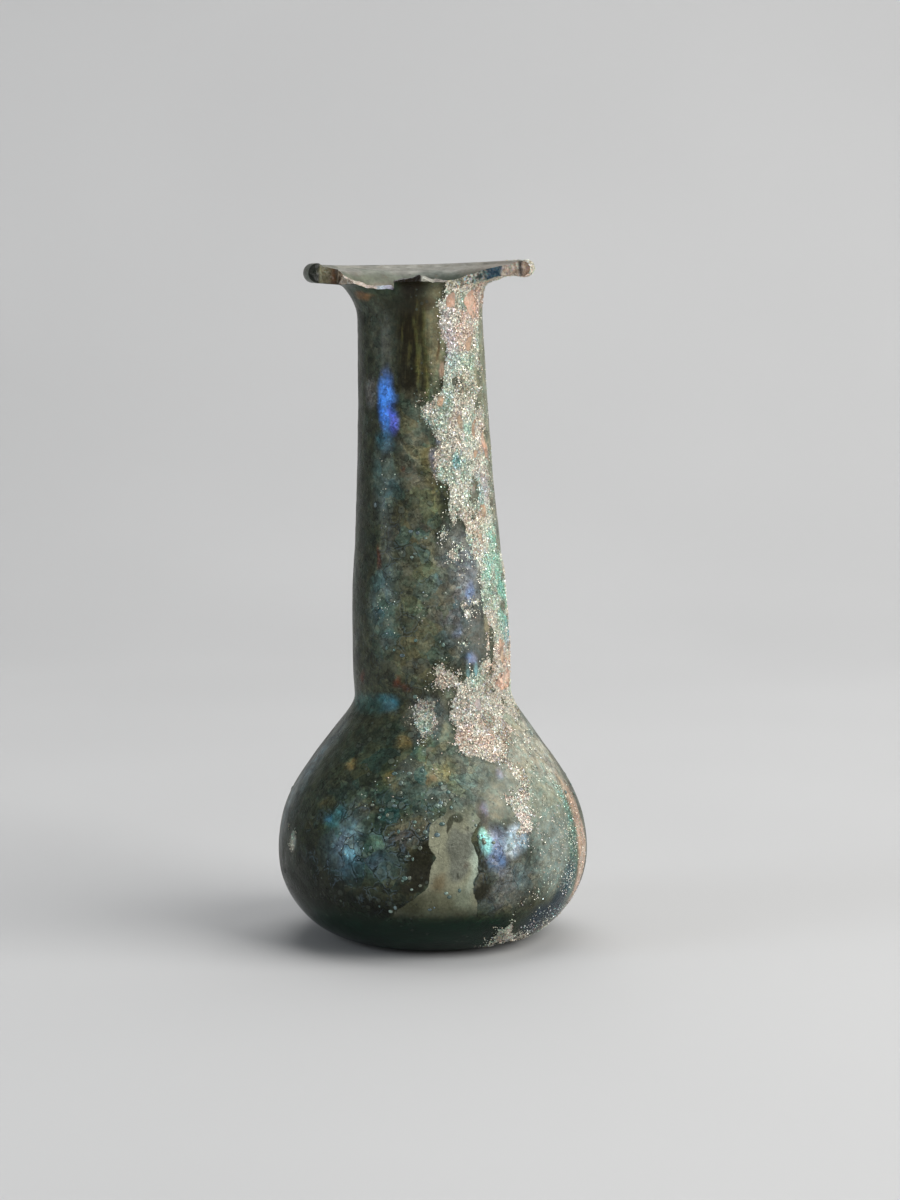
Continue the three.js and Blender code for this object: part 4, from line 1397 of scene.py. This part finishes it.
def build_blisters(vessel, material):
    """Low domes in the skin, closed underneath inside the glass."""
    rng = np.random.default_rng(BLISTER_SEED)
    places, normals = scatter(vessel.data, BLISTER_TRIES, rng)
    surface = Surface(places)
    chance = summed(surface, BLISTER_SPOTS) * (0.5 + 0.5 * noise(places, 3.0, 84))
    chance *= crust_reach(surface) < -0.6
    kept = (rng.random(BLISTER_TRIES) < chance) & (surface.height > 2)
    places, normals = places[kept], normals[kept]
    across, along = facing(normals)
    tints = paint(BLISTER_TINTS)
    corners, faces, colours = [], [], []
    for number in range(len(places)):
        radius = rng.uniform(*BLISTER_SIZES)
        rise = radius * rng.uniform(0.3, 0.5)
        stretch = rng.uniform(0.8, 1.25)
        tint = tints[rng.integers(len(tints))] * rng.uniform(0.7, 1.3)
        start = len(corners)
        for width, up, shade in BLISTER_RINGS:
            for side in range(BLISTER_SIDES):
                angle = 2 * math.pi * side / BLISTER_SIDES
                out = across[number] * math.cos(angle) * stretch + along[number] * math.sin(angle) / stretch
                corners.append(places[number] + out * radius * width + normals[number] * rise * up)
                colours.append(tint * shade)
        # The top is painted lighter still: a painted highlight.
        corners.append(places[number] + normals[number] * rise)
        colours.append(tint * 1.15)
        corners.append(places[number] - normals[number] * 0.5)
        colours.append(tint * 0.3)
        top, bottom = len(corners) - 2, len(corners) - 1
        for side in range(BLISTER_SIDES):
            after = (side + 1) % BLISTER_SIDES
            for ring in (0, 1):
                low = start + ring * BLISTER_SIDES
                high = low + BLISTER_SIDES
                faces.append((low + side, low + after, high + after, high + side))
            last = start + 2 * BLISTER_SIDES
            faces.append((last + side, last + after, top))
            faces.append((start + after, start + side, bottom))
    made = add_piece("skin_blisters", np.array(corners), faces, np.array(colours), material)
    made.data.shade_smooth()
    return made


# ---------------------------------------------------------------- the stage

SWEEP_HALF_WIDTH = 1800
SWEEP_BACK = 700
SWEEP_FRONT = -1800
SWEEP_BEND = 350
SWEEP_TOP = 2200
BEND_STEPS = 12


def paper_material():
    """Matt white paper, very slightly uneven."""
    g = Graph("studio_paper")
    shade = g.vary(g.noise(0.004, 2), 0.97, 1.03)
    return g.finish(Base_Color=g.scale(paint((196, 196, 196)), shade), Roughness=0.9)


def build_stage():
    """A pale floor that curves up into a backdrop behind the vessel and another far in front of it."""
    angles = [math.pi / 2 * step / BEND_STEPS for step in range(BEND_STEPS + 1)]
    bend = [(SWEEP_BEND * math.sin(angle), SWEEP_BEND * (1 - math.cos(angle))) for angle in angles]
    rising = [(SWEEP_BACK - SWEEP_BEND + out, up) for out, up in bend]
    falling = [(SWEEP_FRONT + SWEEP_BEND - out, up) for out, up in reversed(bend)]
    section = [(SWEEP_FRONT, SWEEP_TOP), *falling, *rising, (SWEEP_BACK, SWEEP_TOP)]
    places = [(side * SWEEP_HALF_WIDTH, y, z) for y, z in section for side in (-1, 1)]
    faces = [(2 * i, 2 * i + 1, 2 * i + 3, 2 * i + 2) for i in range(len(section) - 1)]
    mesh = make_mesh("studio_sweep", np.array(places), faces)
    mesh.materials.append(paper_material())
    mesh.shade_smooth()
    sweep = add_object("studio_sweep", mesh)


def add_light(name, turn, elevation, distance, width, tall, strength, colour):
    """A soft rectangular light that looks at the vessel's middle, from a turn and an elevation in degrees."""
    data = bpy.data.lights.new(name, "AREA")
    data.shape = "RECTANGLE"
    data.size = width * MM
    data.size_y = tall * MM
    data.energy = strength
    data.color = colour
    light = add_object(name, data)
    turn, elevation = math.radians(turn), math.radians(elevation)
    level = math.cos(elevation)
    away = Vector((math.sin(turn) * level, -math.cos(turn) * level, math.sin(elevation)))
    middle = (cad_low + cad_high) / 2
    light.location = middle + away * distance * MM
    light.rotation_euler = away.to_track_quat("Z", "Y").to_euler()
    return light


# The lights as (name, turn, elevation, distance, width, height, watts, colour).
LIGHTS = [
    ("window", 66, 30, 800, 700, 800, 8.0, (1.0, 0.99, 0.97)),
    ("far_window", -66, 12, 700, 260, 620, 1.5, (0.86, 0.93, 1.0)),
    ("overhead", 170, 70, 900, 800, 800, 5.0, (1, 1, 1)),
]
WORLD_COLOUR = (0.92, 0.95, 1.0, 1)
WORLD_STRENGTH = 0.12


def build_lights():
    for light in LIGHTS:
        add_light(*light)
    world = bpy.data.worlds.new("studio_world")
    world.use_nodes = True
    background = world.node_tree.nodes["Background"]
    background.inputs["Color"].default_value = WORLD_COLOUR
    background.inputs["Strength"].default_value = WORLD_STRENGTH
    bpy.context.scene.world = world


CAMERA_PLACE = (2.82, -478, 110)
CAMERA_PITCH = 6.54
CAMERA_LENS = 88.44
CAMERA_SENSOR = 36


def build_camera():
    data = bpy.data.cameras.new("camera")
    data.lens = CAMERA_LENS
    data.sensor_width = CAMERA_SENSOR
    camera = add_object("camera", data)
    camera.location = Vector(CAMERA_PLACE) * MM
    camera.rotation_euler = (math.radians(90 - CAMERA_PITCH), 0, 0)
    bpy.context.scene.camera = camera


vessel = build_vessel()
grain = grain_material()
build_grains("neck_crust", vessel, CRUST_SPLIT, 120, grain, 91)
build_grains("body_crust", vessel, 0, CRUST_SPLIT, grain, 92)
build_blisters(vessel, blister_material())
build_stage()
build_lights()
build_camera()
bpy.context.scene.view_settings.view_transform = "Standard"
